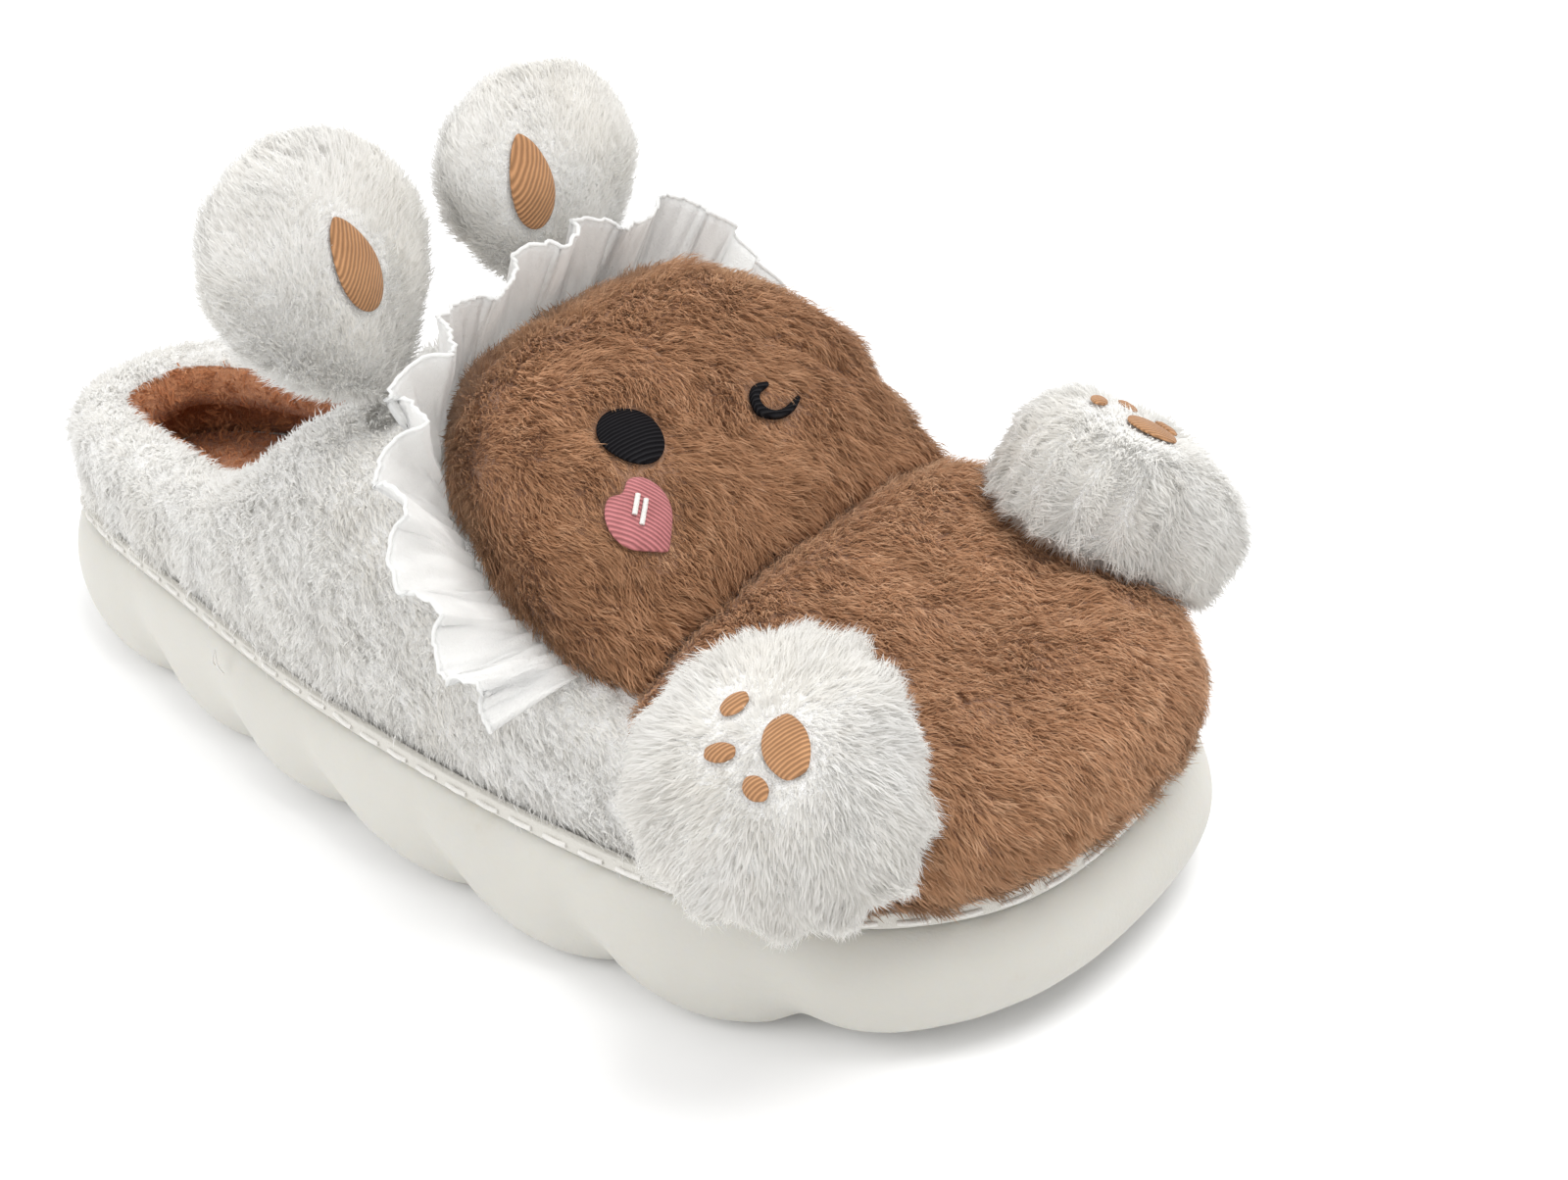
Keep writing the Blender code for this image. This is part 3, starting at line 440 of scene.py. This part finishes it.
def growFur(name, skin, look, finish, keepOff=(), weigh=None, seamTo=(), seed=1):
    # A topcoat of bent hairs that draw together into locks, over an undercoat of fine straight ones
    rng = np.random.default_rng(seed)
    top = look["hairs"]
    count = top + look["underHairs"]
    roots, ups = spread(skin, count, rng, weigh)
    seam = np.ones(len(roots))
    if seamTo:
        gap = distanceTo(treeOf(*seamTo), roots, look["seam"])
        seam = gap / look["seam"]
    bent = np.arange(count) < top
    length = look["length"] * (1 + look["uneven"] * rng.uniform(-1, 1, count))
    length *= 1 + look["tuft"] * softNoise(roots, look["tuftSize"], seed + 5)
    length *= np.where(bent, 1.0, look["underLength"]) * (look["atSeam"] + (1 - look["atSeam"]) * seam)
    trees = treeOf(*keepOff)
    boxes = [np.array([corner[:] for corner in piece.bound_box]) for piece in keepOff]
    if keepOff:
        gap = nearPatch(trees, boxes, roots, look["clear"])
        keep = gap > look["drop"]
        freedom = np.clip((gap - look["drop"]) / (look["clear"] - look["drop"]), 0, 1)
        length *= 0.4 + 0.6 * freedom
        roots, ups, length, bent, seam = roots[keep], ups[keep], length[keep], bent[keep], seam[keep]
    count = len(roots)
    length = np.maximum(length, look["length"] * look["shortest"])[:, None]

    lay = look["nap"](roots)
    lay = unit(lay - ups * (lay * ups).sum(1, keepdims=True) + 1e-6)
    swirl = (softNoise(roots, look["swirlSize"], seed + 1) * look["swirl"])[:, None]
    lay = lay * np.cos(swirl) + np.cross(ups, lay) * np.sin(swirl)
    wander = softNoise(roots, look["swirlSize"] * 0.7, seed + 2)
    rise = np.clip(look["rise"] + 0.12 * wander, 0.08, 1.0)[:, None]
    start = unit(lay * (1 - rise) + ups * rise + rng.normal(size=(count, 3)) * look["scatter"])
    curl = rng.normal(size=(count, 3)) * (look["scatter"] + look["curl"])
    end = unit(start * 0.5 + lay * look["bend"] + curl - np.array([0, 0, look["droop"]]))
    mids = roots + start * length * 0.5
    tips = mids + end * length * 0.5

    leaders = rng.choice(count, max(int(count / look["hairsPerLock"]), 1), replace=False)
    finder = KDTree(len(leaders))
    for k, leader in enumerate(leaders):
        finder.insert(roots[leader], k)
    finder.balance()
    lock = np.array([finder.find(root)[1] for root in roots])
    mine = leaders[lock]
    pull = look["lock"] * rng.uniform(0.4, 1.0, (count, 1))
    tips += (tips[mine] - tips) * pull
    mids += (mids[mine] - mids) * pull * 0.45
    if keepOff:
        keep = nearPatch(trees, boxes, tips, look["clear"]) > look["offPatch"]
        kept = (roots, ups, start, mids, tips, bent, lock, seam)
        roots, ups, start, mids, tips, bent, lock, seam = (part[keep] for part in kept)
        count = len(roots)

    side = unit(np.cross(start, ups) + ups * rng.uniform(-0.5, 0.5, (count, 1)) + 1e-6)
    wide = look["width"] * rng.uniform(0.7, 1.3, (count, 1)) / 2
    sunk = roots - ups * look["sunk"]
    ownTone = 0.7 * rng.normal(size=count)
    lockTone = 0.7 * rng.normal(size=len(leaders))[lock]
    tone = np.clip(look["tone"] + look["toneSpread"] * (ownTone + lockTone), 0, 1)
    # Hairs near a seam take a darker tone: painted shade in the seam.
    tone *= seam ** 0.7
    flatWays = unit(np.cross(side, start))
    sparkle = rng.normal(size=(count, 3)) * look["sparkle"]
    shown = unit(ups * look["surfaceLight"] + flatWays * (1 - look["surfaceLight"]) + sparkle)
    long = np.flatnonzero(bent)
    short = np.flatnonzero(~bent)
    left, right = sunk - side * wide, sunk + side * wide
    bendLeft, bendRight = mids - side * wide * 0.8, mids + side * wide * 0.8
    blades = np.stack([part[long] for part in (left, right, bendLeft, bendRight, tips)], 1).reshape(-1, 3)
    spikes = np.stack([part[short] for part in (left, right, tips)], 1).reshape(-1, 3)
    faces = np.array([[0, 1, 3], [0, 3, 2], [2, 3, 4]])
    index = np.concatenate([(np.arange(len(long))[:, None, None] * 5 + faces[None]).reshape(-1),
                            len(blades) + np.arange(len(short) * 3)])
    mesh = bpy.data.meshes.new(name)
    mesh.vertices.add(len(blades) + len(spikes))
    mesh.vertices.foreach_set("co", np.concatenate([blades, spikes]).astype(np.float32).ravel())
    mesh.loops.add(len(index))
    mesh.loops.foreach_set("vertex_index", index.astype(np.int32))
    mesh.polygons.add(len(index) // 3)
    mesh.polygons.foreach_set("loop_start", np.arange(0, len(index), 3, dtype=np.int32))
    mesh.update(calc_edges=True)
    mesh.shade_smooth()
    owner = np.concatenate([np.repeat(long, 5), np.repeat(short, 3)])
    colours = np.ones((len(owner), 4), dtype=np.float32)
    colours[:, 0] = tone[owner]
    alongBlade = np.tile([0.0, 0.0, 0.6, 0.6, 1.0], len(long))
    alongSpike = np.tile([0.0, 0.0, 1.0], len(short))
    colours[:, 1] = np.concatenate([alongBlade, alongSpike])
    hair = mesh.color_attributes.new("hair", "FLOAT_COLOR", "POINT")
    hair.data.foreach_set("color", colours.ravel())
    coat = mesh.attributes.new("coat", "FLOAT_VECTOR", "POINT")
    coat.data.foreach_set("vector", shown[owner].astype(np.float32).ravel())
    mesh.normals_split_custom_set_from_vertices(shown[owner].tolist())
    return addPiece(name, mesh, [finish])


def napToToe(points):
    lay = np.zeros_like(points)
    lay[:, 0] = 1.0
    lay[:, 2] = -0.35
    return lay


# Each coat below starts from these values; its own hair counts are given there
furLook = {
    "length": 3.8 * mm, "underLength": 0.72, "uneven": 0.35, "shortest": 0.25,
    "width": 0.22 * mm, "sunk": 0.3 * mm,
    "tuft": 0.15, "tuftSize": 9 * mm,  # longer and shorter patches
    "clear": 3.5 * mm, "drop": 0.5 * mm, "offPatch": 0.35 * mm,  # room round the embroidery
    "seam": 2.6 * mm, "atSeam": 0.45,  # reach of a seam, and the share of length left at it
    "nap": napToToe, "swirl": 0.35, "swirlSize": 16 * mm, "rise": 0.42, "scatter": 0.16,
    "curl": 0.08, "bend": 0.45, "droop": 0.10, "hairsPerLock": 30, "lock": 0.45,
    "tone": 0.5, "toneSpread": 0.18, "surfaceLight": 0.85, "sparkle": 0.12,
}
whiteLook = {
    "surfaceLight": 1.0, "sparkle": 0.05, "toneSpread": 0.22, "lock": 0.2, "uneven": 0.25, "scatter": 0.13,
}


def coatOf(**changes):
    return {**furLook, **changes}


# Sole

soleLook = {"levels": 2, "creaseAngle": 70, "creaseStrength": 0.8}
sole = smoothCopy("sole", "foamSole", [soleFoam], "cream_foam", **soleLook)
insole = smoothCopy("insole", "fleeceFootbed", [fleecePelt], "brown_fleece")
binding = smoothCopy("binding", "bindingStrip", [bindingCloth], "cream_binding", creaseAngle=50)
print("stage: sole, footbed and binding")


# Embroidered patches

embroidery = {
    "eye_open": ("openEye", blackThread, "black_thread"),
    "eye_wink": ("winkingEye", blackThread, "black_thread"),
    "cheek_heart": ("cheekHeart", pinkThread, "pink_thread"),
    "ear_patch_right": ("rightEarPatch", tanThread, "tan_thread"),
    "ear_patch_left": ("leftEarPatch", tanThread, "tan_thread"),
}
for pawName in ("paw_right", "paw_left"):
    for padName in ("heel", "toe_1", "toe_2", "toe_3"):
        label = pawName.replace("paw_", "") + "Pad" + padName.replace("_", "").capitalize()
        embroidery[pawName + "_" + padName] = (label, padThread, "tan_thread")
patches = {}
for nodeName, (label, finish, slotName) in embroidery.items():
    patches[nodeName] = smoothCopy(nodeName, label, [finish], slotName, creaseAngle=50, creaseStrength=0.3)
print("stage: embroidery")


# Plush panels

upperLook = {"rippleSize": 34 * mm, "rippleDepth": 0.35 * mm}
headLook = {"rippleSize": 22 * mm, "rippleDepth": 0.35 * mm}
upper = smoothCopy("upper", "plushUpper", [whitePelt, fleecePelt], "white_plush", levels=1)
ripple(upper, upperLook["rippleSize"], upperLook["rippleDepth"], 11)
belly = smoothCopy("belly", "plushBelly", [brownPelt], "brown_plush", levels=1, creaseAngle=65)
head = smoothCopy("head", "plushHead", [brownPelt], "brown_plush", creaseAngle=65)
ripple(head, headLook["rippleSize"], headLook["rippleDepth"], 12)
paws = {side: smoothCopy("paw_" + side, side + "Paw", [whitePelt], "white_plush")
        for side in ("right", "left")}
ears = {side: smoothCopy("ear_" + side, side + "Ear", [whitePelt], "white_plush")
        for side in ("right", "left")}


def liningFaces(piece):
    # The faces that look into the foot space are lined with fleece
    mesh = piece.data
    centres = np.empty(len(mesh.polygons) * 3)
    mesh.polygons.foreach_get("center", centres)
    normals = np.empty(len(mesh.polygons) * 3)
    mesh.polygons.foreach_get("normal", normals)
    centres, normals = centres.reshape(-1, 3), normals.reshape(-1, 3)
    inside = (outwardFrom(centres) * normals).sum(1) < 0.0
    mesh.polygons.foreach_set("material_index", inside.astype(np.int32))
    mesh.update()


liningFaces(upper)
coverTrees = treeOf(belly, head)
underPaws = treeOf(belly, upper)


# Where hairs may grow
growLook = {
    "toeFrom": 0.165, "toeBare": 5.5 * mm, "panelBare": 2.5 * mm, "panelReach": 6 * mm,
    "pawBare": 1.2 * mm, "pawReach": 2 * mm, "liningTo": 0.1, "footbedTo": 0.11,
}


def outsideOnly(centres, normals):
    return ((outwardFrom(centres) * normals).sum(1) > -0.1).astype(float)


def bareUpper(centres, normals):
    # No hairs grow under the head and the belly, nor round the toe below the belly's fringe
    facing = (outwardFrom(centres) * normals).sum(1) > 0.0
    gap = distanceTo(coverTrees, centres, growLook["panelReach"])
    atToe = centres[:, 0] > growLook["toeFrom"]
    return (facing & (gap > np.where(atToe, growLook["toeBare"], growLook["panelBare"]))).astype(float)


def offBelly(centres, normals):
    # A paw's hairs grow where it doesn't lie on the belly or the upper
    return (distanceTo(underPaws, centres, growLook["pawReach"]) > growLook["pawBare"]).astype(float)


def liningOnly(centres, normals):
    inward = (outwardFrom(centres) * normals).sum(1) < 0.02
    behind = centres[:, 0] < growLook["liningTo"]
    return (inward & behind).astype(float)


def footbedTop(centres, normals):
    return ((normals[:, 2] > 0.5) & (centres[:, 0] < growLook["footbedTo"])).astype(float)


upperNap = coatOf(**whiteLook, hairs=31000, underHairs=72000, length=3.2 * mm, width=0.32 * mm,
                  rise=0.5, droop=0.15)
growFur("upperFur", upper, upperNap, whiteFur, weigh=bareUpper, seed=21)
liningNap = coatOf(hairs=7500, underHairs=14000, length=2.8 * mm, width=0.42 * mm, rise=0.7,
                   scatter=0.5, curl=0.7, hairsPerLock=22, lock=0.75, uneven=0.4)
growFur("liningFleece", upper, liningNap, fleeceFur, weigh=liningOnly, seed=22)
footbedNap = {**liningNap, "hairs": 4500, "underHairs": 11000}
growFur("footbedFleece", insole, footbedNap, fleeceFur, weigh=footbedTop, seed=23)
print("stage: white upper and fleece lining")

puckerLook = {
    "places": ((138.5, 20.5, 84.2), (139.9, 22.8, 83.1), (141.4, 23.6, 81.9), (142.8, 25.4, 80.4),
               (144.6, 26.9, 78.6), (146.1, 28.8, 76.6), (147.0, 30.7, 74.6)),
    "depth": 1.5 * mm, "reach": 3.2 * mm,
}


def makePucker():
    # The head's skin is drawn in along a line, and a thin strip of the dark pelt stands in the fold:
    # painted shade of the fold.
    line = np.array(puckerLook["places"]) * mm
    points, normals, _ = meshArrays(head.data)
    gaps = np.linalg.norm(points[:, None, :] - line[None], axis=2).min(1)
    pull = np.exp(-(gaps / puckerLook["reach"]) ** 2 * 2.2) * puckerLook["depth"]
    points = points - normals * pull[:, None]
    head.data.vertices.foreach_set("co", points.ravel())
    head.data.update()
    tree = treeOf(head)[0]
    mesh = bpy.data.meshes.new("pucker")
    bm = bmesh.new()
    spots = [tree.find_nearest(Vector(place))[:2] for place in line]
    low = [bm.verts.new(spot - normal * 0.2 * mm) for spot, normal in spots]
    high = [bm.verts.new(spot + normal * 0.25 * mm) for spot, normal in spots]
    for k in range(len(spots) - 1):
        bm.faces.new([low[k], low[k + 1], high[k + 1], high[k]])
    bm.to_mesh(mesh)
    bm.free()
    return addPiece("pucker", mesh, [brownPelt])


pucker = makePucker()
facePatches = [patches[key] for key in ("eye_open", "eye_wink", "cheek_heart")]
headNap = coatOf(hairs=34500, underHairs=61000, length=3.8 * mm, width=0.235 * mm, swirl=0.5,
                 tuft=0.2, rise=0.40, tone=0.37)
growFur("headFur", head, headNap, brownFur, keepOff=facePatches, weigh=outsideOnly,
        seamTo=(belly, pucker), seed=31)
bellyNap = coatOf(hairs=34500, underHairs=61000, length=3.6 * mm, width=0.235 * mm, rise=0.38,
                  droop=0.15, tone=0.58)
growFur("bellyFur", belly, bellyNap, brownFur, weigh=outsideOnly, seamTo=(head,), seed=32)
print("stage: brown head and belly")


def napFrom(centre, drop):
    def lay(points):
        away = points - np.array(centre)
        away[:, 2] -= drop
        return away
    return lay


for side in ("right", "left"):
    paw = paws[side]
    lo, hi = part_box("paw_" + side)
    middle = (Vector(lo) + Vector(hi)) / 2
    pads = [patches[key] for key in patches if key.startswith("paw_" + side)]
    pawNap = coatOf(**whiteLook, hairs=14500, underHairs=29000, length=3.6 * mm, width=0.275 * mm,
                    nap=napFrom(middle, 4 * mm), rise=0.5, droop=0.04)
    growFur(side + "PawFur", paw, pawNap, whiteFur, keepOff=pads, weigh=offBelly, seed=41)
    ear = ears[side]
    lo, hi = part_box("ear_" + side)
    base = ((lo[0] + hi[0]) / 2, (lo[1] + hi[1]) / 2, lo[2])
    earNap = coatOf(**whiteLook, hairs=11500, underHairs=27000, length=3.2 * mm, width=0.275 * mm,
                    nap=napFrom(base, 0.0), rise=0.5, droop=0.06)
    growFur(side + "EarFur", ear, earNap, whiteFur,
            keepOff=[patches["ear_patch_" + side]], seed=42)
print("stage: paws and ears")


# Ruffled collar round the back of the head

frillLook = {
    "gathers": 11, "wave": 4.2 * mm, "lean": 0.30, "innerTaper": 0.55, "taperFrom": 0.76,
    "pleat": 0.55 * mm, "pleatsPerGather": 3.7, "crumple": 0.4 * mm, "crumpleSize": 7 * mm,
    "hem": 0.38 * mm, "thickness": 0.35 * mm, "columns": 14, "steps": 420,
    # Seat point in millimetres, direction in which the cloth stands, and its width there
    "seats": (
        (146.6, -40.0, 52.2, 0.01, -0.99, 0.12, 18.8), (139.4, -39.6, 54.4, 0.01, -0.95, 0.30, 20.3),
        (132.3, -38.7, 57.0, 0.03, -0.88, 0.47, 21.6), (125.5, -37.2, 60.0, 0.08, -0.79, 0.61, 22.6),
        (119.1, -35.1, 63.2, 0.14, -0.67, 0.73, 23.4), (113.3, -32.5, 66.5, 0.19, -0.54, 0.82, 24.0),
        (108.2, -29.2, 69.6, 0.24, -0.40, 0.88, 24.4), (103.8, -25.3, 72.5, 0.36, -0.26, 0.90, 24.7),
        (100.3, -20.5, 75.1, 0.42, -0.14, 0.90, 24.9), (97.7, -14.7, 77.0, 0.46, -0.05, 0.89, 25.0),
        (96.2, -6.7, 78.0, 0.47, 0.00, 0.88, 25.0), (95.7, 2.0, 78.2, 0.48, 0.01, 0.88, 25.0),
        (95.7, 11.1, 78.1, 0.48, 0.02, 0.88, 25.0), (96.2, 18.5, 77.5, 0.47, 0.07, 0.88, 25.0),
        (97.8, 23.6, 76.1, 0.44, 0.15, 0.89, 25.0), (100.4, 27.7, 74.0, 0.39, 0.27, 0.88, 24.9),
        (103.9, 31.0, 71.3, 0.31, 0.41, 0.85, 24.7), (108.3, 33.8, 68.3, 0.19, 0.57, 0.80, 24.4),
        (113.5, 36.2, 65.2, 0.13, 0.71, 0.69, 24.0), (119.3, 38.1, 61.9, 0.07, 0.82, 0.56, 23.4),
        (125.7, 39.6, 58.7, 0.01, 0.91, 0.41, 22.6), (132.5, 40.7, 55.8, -0.04, 0.97, 0.25, 21.6),
    ),
}


def makeFrill():
    seats = np.array(frillLook["seats"])
    spans = np.linalg.norm(np.diff(seats[:, :3], axis=0), axis=1)
    run = np.concatenate([[0], np.cumsum(spans)])
    total = run[-1]
    steps, columns = frillLook["steps"], frillLook["columns"]
    marks = np.linspace(0, total, steps + 1)
    rows = np.stack([np.interp(marks, run, seats[:, k]) for k in range(7)], 1)
    kernel = np.hanning(31) / np.hanning(31).sum()
    stretched = np.pad(rows, ((15, 15), (0, 0)), mode="reflect", reflect_type="odd")
    rows = np.stack([np.convolve(stretched[:, k], kernel, "valid") for k in range(7)], 1)
    seat, rise, width = rows[:, :3] * mm, unit(rows[:, 3:6]), rows[:, 6:] * mm
    along = unit(np.gradient(seat, axis=0))
    flat = unit(np.cross(along, rise))
    share = marks / total
    place = np.stack([share * 0.15, share * 0, share * 0], 1)
    drift = softNoise(place, 0.03, 8)
    phase = share * frillLook["gathers"] * 2 * math.pi + drift * 1.1
    swell = 0.85 + 0.25 * softNoise(place, 0.035, 9)
    swell *= 1.0 - 0.35 * np.exp(-((share - 0.55) / 0.16) ** 2)
    late = (share - frillLook["taperFrom"]) / (1 - frillLook["taperFrom"])
    taper = 1 - frillLook["innerTaper"] * np.clip(late, 0, 1) ** 1.2
    width = width * (taper * (1 + 0.05 * np.sin(phase * 0.5 + 1.0)))[:, None]
    fine = np.sin(phase * frillLook["pleatsPerGather"] + drift * 2)
    grid = []
    for j in range(columns + 1):
        level = j / columns
        spot = np.stack([marks, marks * 0 + level * 0.02, marks * 0], 1)
        crumple = softNoise(spot, frillLook["crumpleSize"], 14) * frillLook["crumple"] * min(level * 3, 1.0)
        push = np.sin(phase) * swell * frillLook["wave"] * level ** 1.1
        pleat = fine * frillLook["pleat"] * math.exp(-((level - 0.12) / 0.16) ** 2)
        lean = np.cos(phase * 2) * frillLook["wave"] * frillLook["lean"] * level
        row = seat + rise * width * level + flat * (push + pleat + crumple)[:, None] + along * lean[:, None]
        grid.append(row)
    bm = bmesh.new()
    verts = [[bm.verts.new(point) for point in row] for row in grid]
    for j in range(columns):
        for i in range(steps):
            bm.faces.new([verts[j][i], verts[j][i + 1], verts[j + 1][i + 1], verts[j + 1][i]])
    mesh = bpy.data.meshes.new("ruffledCollar")
    bm.to_mesh(mesh)
    bm.free()
    piece = addPiece("ruffledCollar", mesh, [frillCloth], ("frill",))
    shell = piece.modifiers.new("thickness", "SOLIDIFY")
    shell.thickness = frillLook["thickness"]
    shell.offset = 0.0
    mesh.shade_smooth()
    # Rolled hem along the free edge
    curve = bpy.data.curves.new("collarHem", "CURVE")
    curve.dimensions = "3D"
    curve.bevel_depth = frillLook["hem"]
    curve.bevel_resolution = 2
    spline = curve.splines.new("POLY")
    spline.points.add(steps)
    for point, place in zip(spline.points, grid[-1]):
        point.co = (*place, 1.0)
    hem = bpy.data.objects.new("collarHem", curve)
    scene.collection.objects.link(hem)
    curve.materials.append(frillCloth)
    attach(hem, "root")


makeFrill()


# Running stitches along the binding, and two white strokes on the cheek

stitchLook = {"pitch": 8.0 * mm, "length": 5.0 * mm, "radius": 0.5 * mm, "lift": 0.25 * mm}


def threadPiece(name, runs, radius, finish):
    curve = bpy.data.curves.new(name, "CURVE")
    curve.dimensions = "3D"
    curve.bevel_depth = radius
    curve.bevel_resolution = 2
    curve.use_fill_caps = True
    for places in runs:
        spline = curve.splines.new("POLY")
        spline.points.add(len(places) - 1)
        for point, place in zip(spline.points, places):
            point.co = (*place, 1.0)
    piece = bpy.data.objects.new(name, curve)
    scene.collection.objects.link(piece)
    curve.materials.append(finish)
    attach(piece, "root")
    return piece


def rimPath():
    points, normals, _ = meshArrays(binding.data)
    facing = (unit(outwardFrom(points)[:, :2]) * normals[:, :2]).sum(1) > 0.6
    lo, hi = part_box("binding")
    middle = points[:, 2].copy()
    level = np.polyval(np.polyfit(points[facing, 0], points[facing, 2], 1), points[:, 0])
    band = facing & (abs(middle - level) < 0.7 * mm)
    found = points[band]
    centre = np.array([(lo[0] + hi[0]) / 2, 0.0])
    angle = np.arctan2(found[:, 1] / (hi[1] - lo[1]), (found[:, 0] - centre[0]) / (hi[0] - lo[0]))
    found = found[np.argsort(angle)]
    keep = [found[0]]
    for place in found:
        if np.linalg.norm(place - keep[-1]) > 2.5 * mm:
            keep.append(place)
    return np.array(keep + keep[:1])


def makeStitches():
    path = rimPath()
    run = np.concatenate([[0], np.cumsum(np.linalg.norm(np.diff(path, axis=0), axis=1))])
    runs = []
    for start in np.arange(0, run[-1] - stitchLook["length"], stitchLook["pitch"]):
        marks = start + stitchLook["length"] * np.linspace(0, 1, 6)
        places = np.stack([np.interp(marks, run, path[:, k]) for k in range(3)], 1)
        arch = np.sin(np.linspace(0, math.pi, 6)) * stitchLook["lift"]
        away = outwardFrom(places)
        away[:, 2] = 0
        runs.append(places + unit(away) * arch[:, None])
    threadPiece("runningStitch", runs, stitchLook["radius"], threadCloth)


# Two loose ends where the running stitch starts on the outer side, each with its turn and length
endLook = {
    "place": (49.5, -42.5, 22.5), "ends": ((0.5, 5.5), (-0.3, 4.0)), "radius": 0.14 * mm,
}


def makeThreadEnds():
    runs = []
    for turn, long in endLook["ends"]:
        places = []
        for k in range(8):
            way = k / 7
            out = -0.5 - 0.9 * math.sin(way * 2.6)
            drop = Vector((turn * way * long * 0.55, out, 4.0 - way * long * 0.85))
            places.append((Vector(endLook["place"]) + drop) * mm)
        runs.append(places)
    threadPiece("threadEnds", runs, endLook["radius"], threadCloth)


makeStitches()
makeThreadEnds()


# Two white strokes on the heart, each with its shift sideways and its length in millimetres
strokeLook = {"strokes": ((-1.3, 3.4), (1.3, 4.4)), "radius": 0.45 * mm, "lift": 0.25 * mm}


def makeCheekStrokes():
    lo, hi = (Vector(corner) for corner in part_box("cheek_heart"))
    tree = treeOf(patches["cheek_heart"])[0]
    middle = (lo + hi) / 2
    runs = []
    for shift, long in strokeLook["strokes"]:
        places = []
        for k in range(6):
            way = (k / 5 - 0.5) * long * mm
            probe = middle + Vector((0.0005 + shift * mm - way * 0.35, way * 0.75, 0.0025 + way * 0.6))
            spot, normal, _, _ = tree.find_nearest(probe)
            places.append(spot + normal * strokeLook["lift"])
        runs.append(places)
    threadPiece("cheekStrokes", runs, strokeLook["radius"], threadCloth)


makeCheekStrokes()
print("stage: stitches")


# Floor, light and camera

def countTriangles():
    # Counts the triangles of every dressed piece, and prints the total and each piece over
    # 60,000. The whole dressed part stays under a million triangles, and each piece under 200,000
    graph = bpy.context.evaluated_depsgraph_get()
    total = 0
    for piece in scene.objects:
        if piece.type in ("MESH", "CURVE") and piece.name not in cadNodes:
            seen = piece.evaluated_get(graph)
            mesh = seen.to_mesh()
            mesh.calc_loop_triangles()
            count = len(mesh.loop_triangles)
            seen.to_mesh_clear()
            total += count
            if count > 60000:
                print("stage: piece", piece.name, count, "triangles")
    print("stage: all pieces", total, "triangles")


countTriangles()


def makeFloor():
    bm = bmesh.new()
    bmesh.ops.create_grid(bm, x_segments=1, y_segments=1, size=3.0)
    mesh = bpy.data.meshes.new("paleFloor")
    bm.to_mesh(mesh)
    bm.free()
    floor = bpy.data.objects.new("paleFloor", mesh)
    scene.collection.objects.link(floor)
    finish, shader = newFinish("paleFloor", 0.9)
    vector = restCoords(finish)
    cloud = noiseNode(finish, vector, 3.0, 2.0)
    tint = rampNode(finish, cloud, ((0.3, (0.90, 0.90, 0.90)), (0.7, (0.92, 0.92, 0.92))))
    wire(finish, tint, shader.inputs["Base Color"])
    mesh.materials.append(finish)


def makeLight(name, size, power, place, aim):
    lamp = bpy.data.lights.new(name, "AREA")
    lamp.shape = "DISK"
    lamp.size = size
    lamp.energy = power
    light = bpy.data.objects.new(name, lamp)
    light.location = place
    light.rotation_euler = (Vector(aim) - Vector(place)).to_track_quat("-Z", "Y").to_euler()
    scene.collection.objects.link(light)


lightLook = {
    "world": 0.98, "aim": (0.1, 0.0, 0.03),
    "key": 9.0, "keySize": 0.8, "keyPlace": (0.5, 0.25, 1.1),
    "fill": 5.0, "fillSize": 1.0, "fillPlace": (-0.4, -0.9, 0.7),
}
makeFloor()
makeLight("softKey", lightLook["keySize"], lightLook["key"], lightLook["keyPlace"], lightLook["aim"])
makeLight("softFill", lightLook["fillSize"], lightLook["fill"], lightLook["fillPlace"], lightLook["aim"])
world = bpy.data.worlds.new("studio")
scene.world = world
world.use_nodes = True
world.node_tree.nodes["Background"].inputs["Color"].default_value = (1.0, 1.0, 1.0, 1.0)
world.node_tree.nodes["Background"].inputs["Strength"].default_value = lightLook["world"]
scene.view_settings.view_transform = "Standard"

cameraLook = {
    "azimuth": 42.45, "elevation": 31.78, "roll": -7.22, "distance": 0.44598,
    "target": (0.1245, 0.03388, 0.020), "lens": 53.57,
}


def makeCamera():
    az, el, roll = (math.radians(cameraLook[key]) for key in ("azimuth", "elevation", "roll"))
    back = Vector((math.sin(az) * math.cos(el), -math.cos(az) * math.cos(el), math.sin(el)))
    right = Vector((math.cos(az), math.sin(az), 0))
    up = back.cross(right)
    sideways = right * math.cos(roll) + up * math.sin(roll)
    upward = up * math.cos(roll) - right * math.sin(roll)
    lens = bpy.data.cameras.new("camera")
    lens.lens = cameraLook["lens"]
    lens.sensor_width = 36.0
    lens.clip_start = 0.01
    camera = bpy.data.objects.new("camera", lens)
    scene.collection.objects.link(camera)
    turn = Matrix((sideways, upward, back)).transposed().to_4x4()
    eye = Vector(cameraLook["target"]) + back * cameraLook["distance"]
    camera.matrix_world = Matrix.Translation(eye) @ turn
    scene.camera = camera


makeCamera()
print("stage: floor, light and camera")
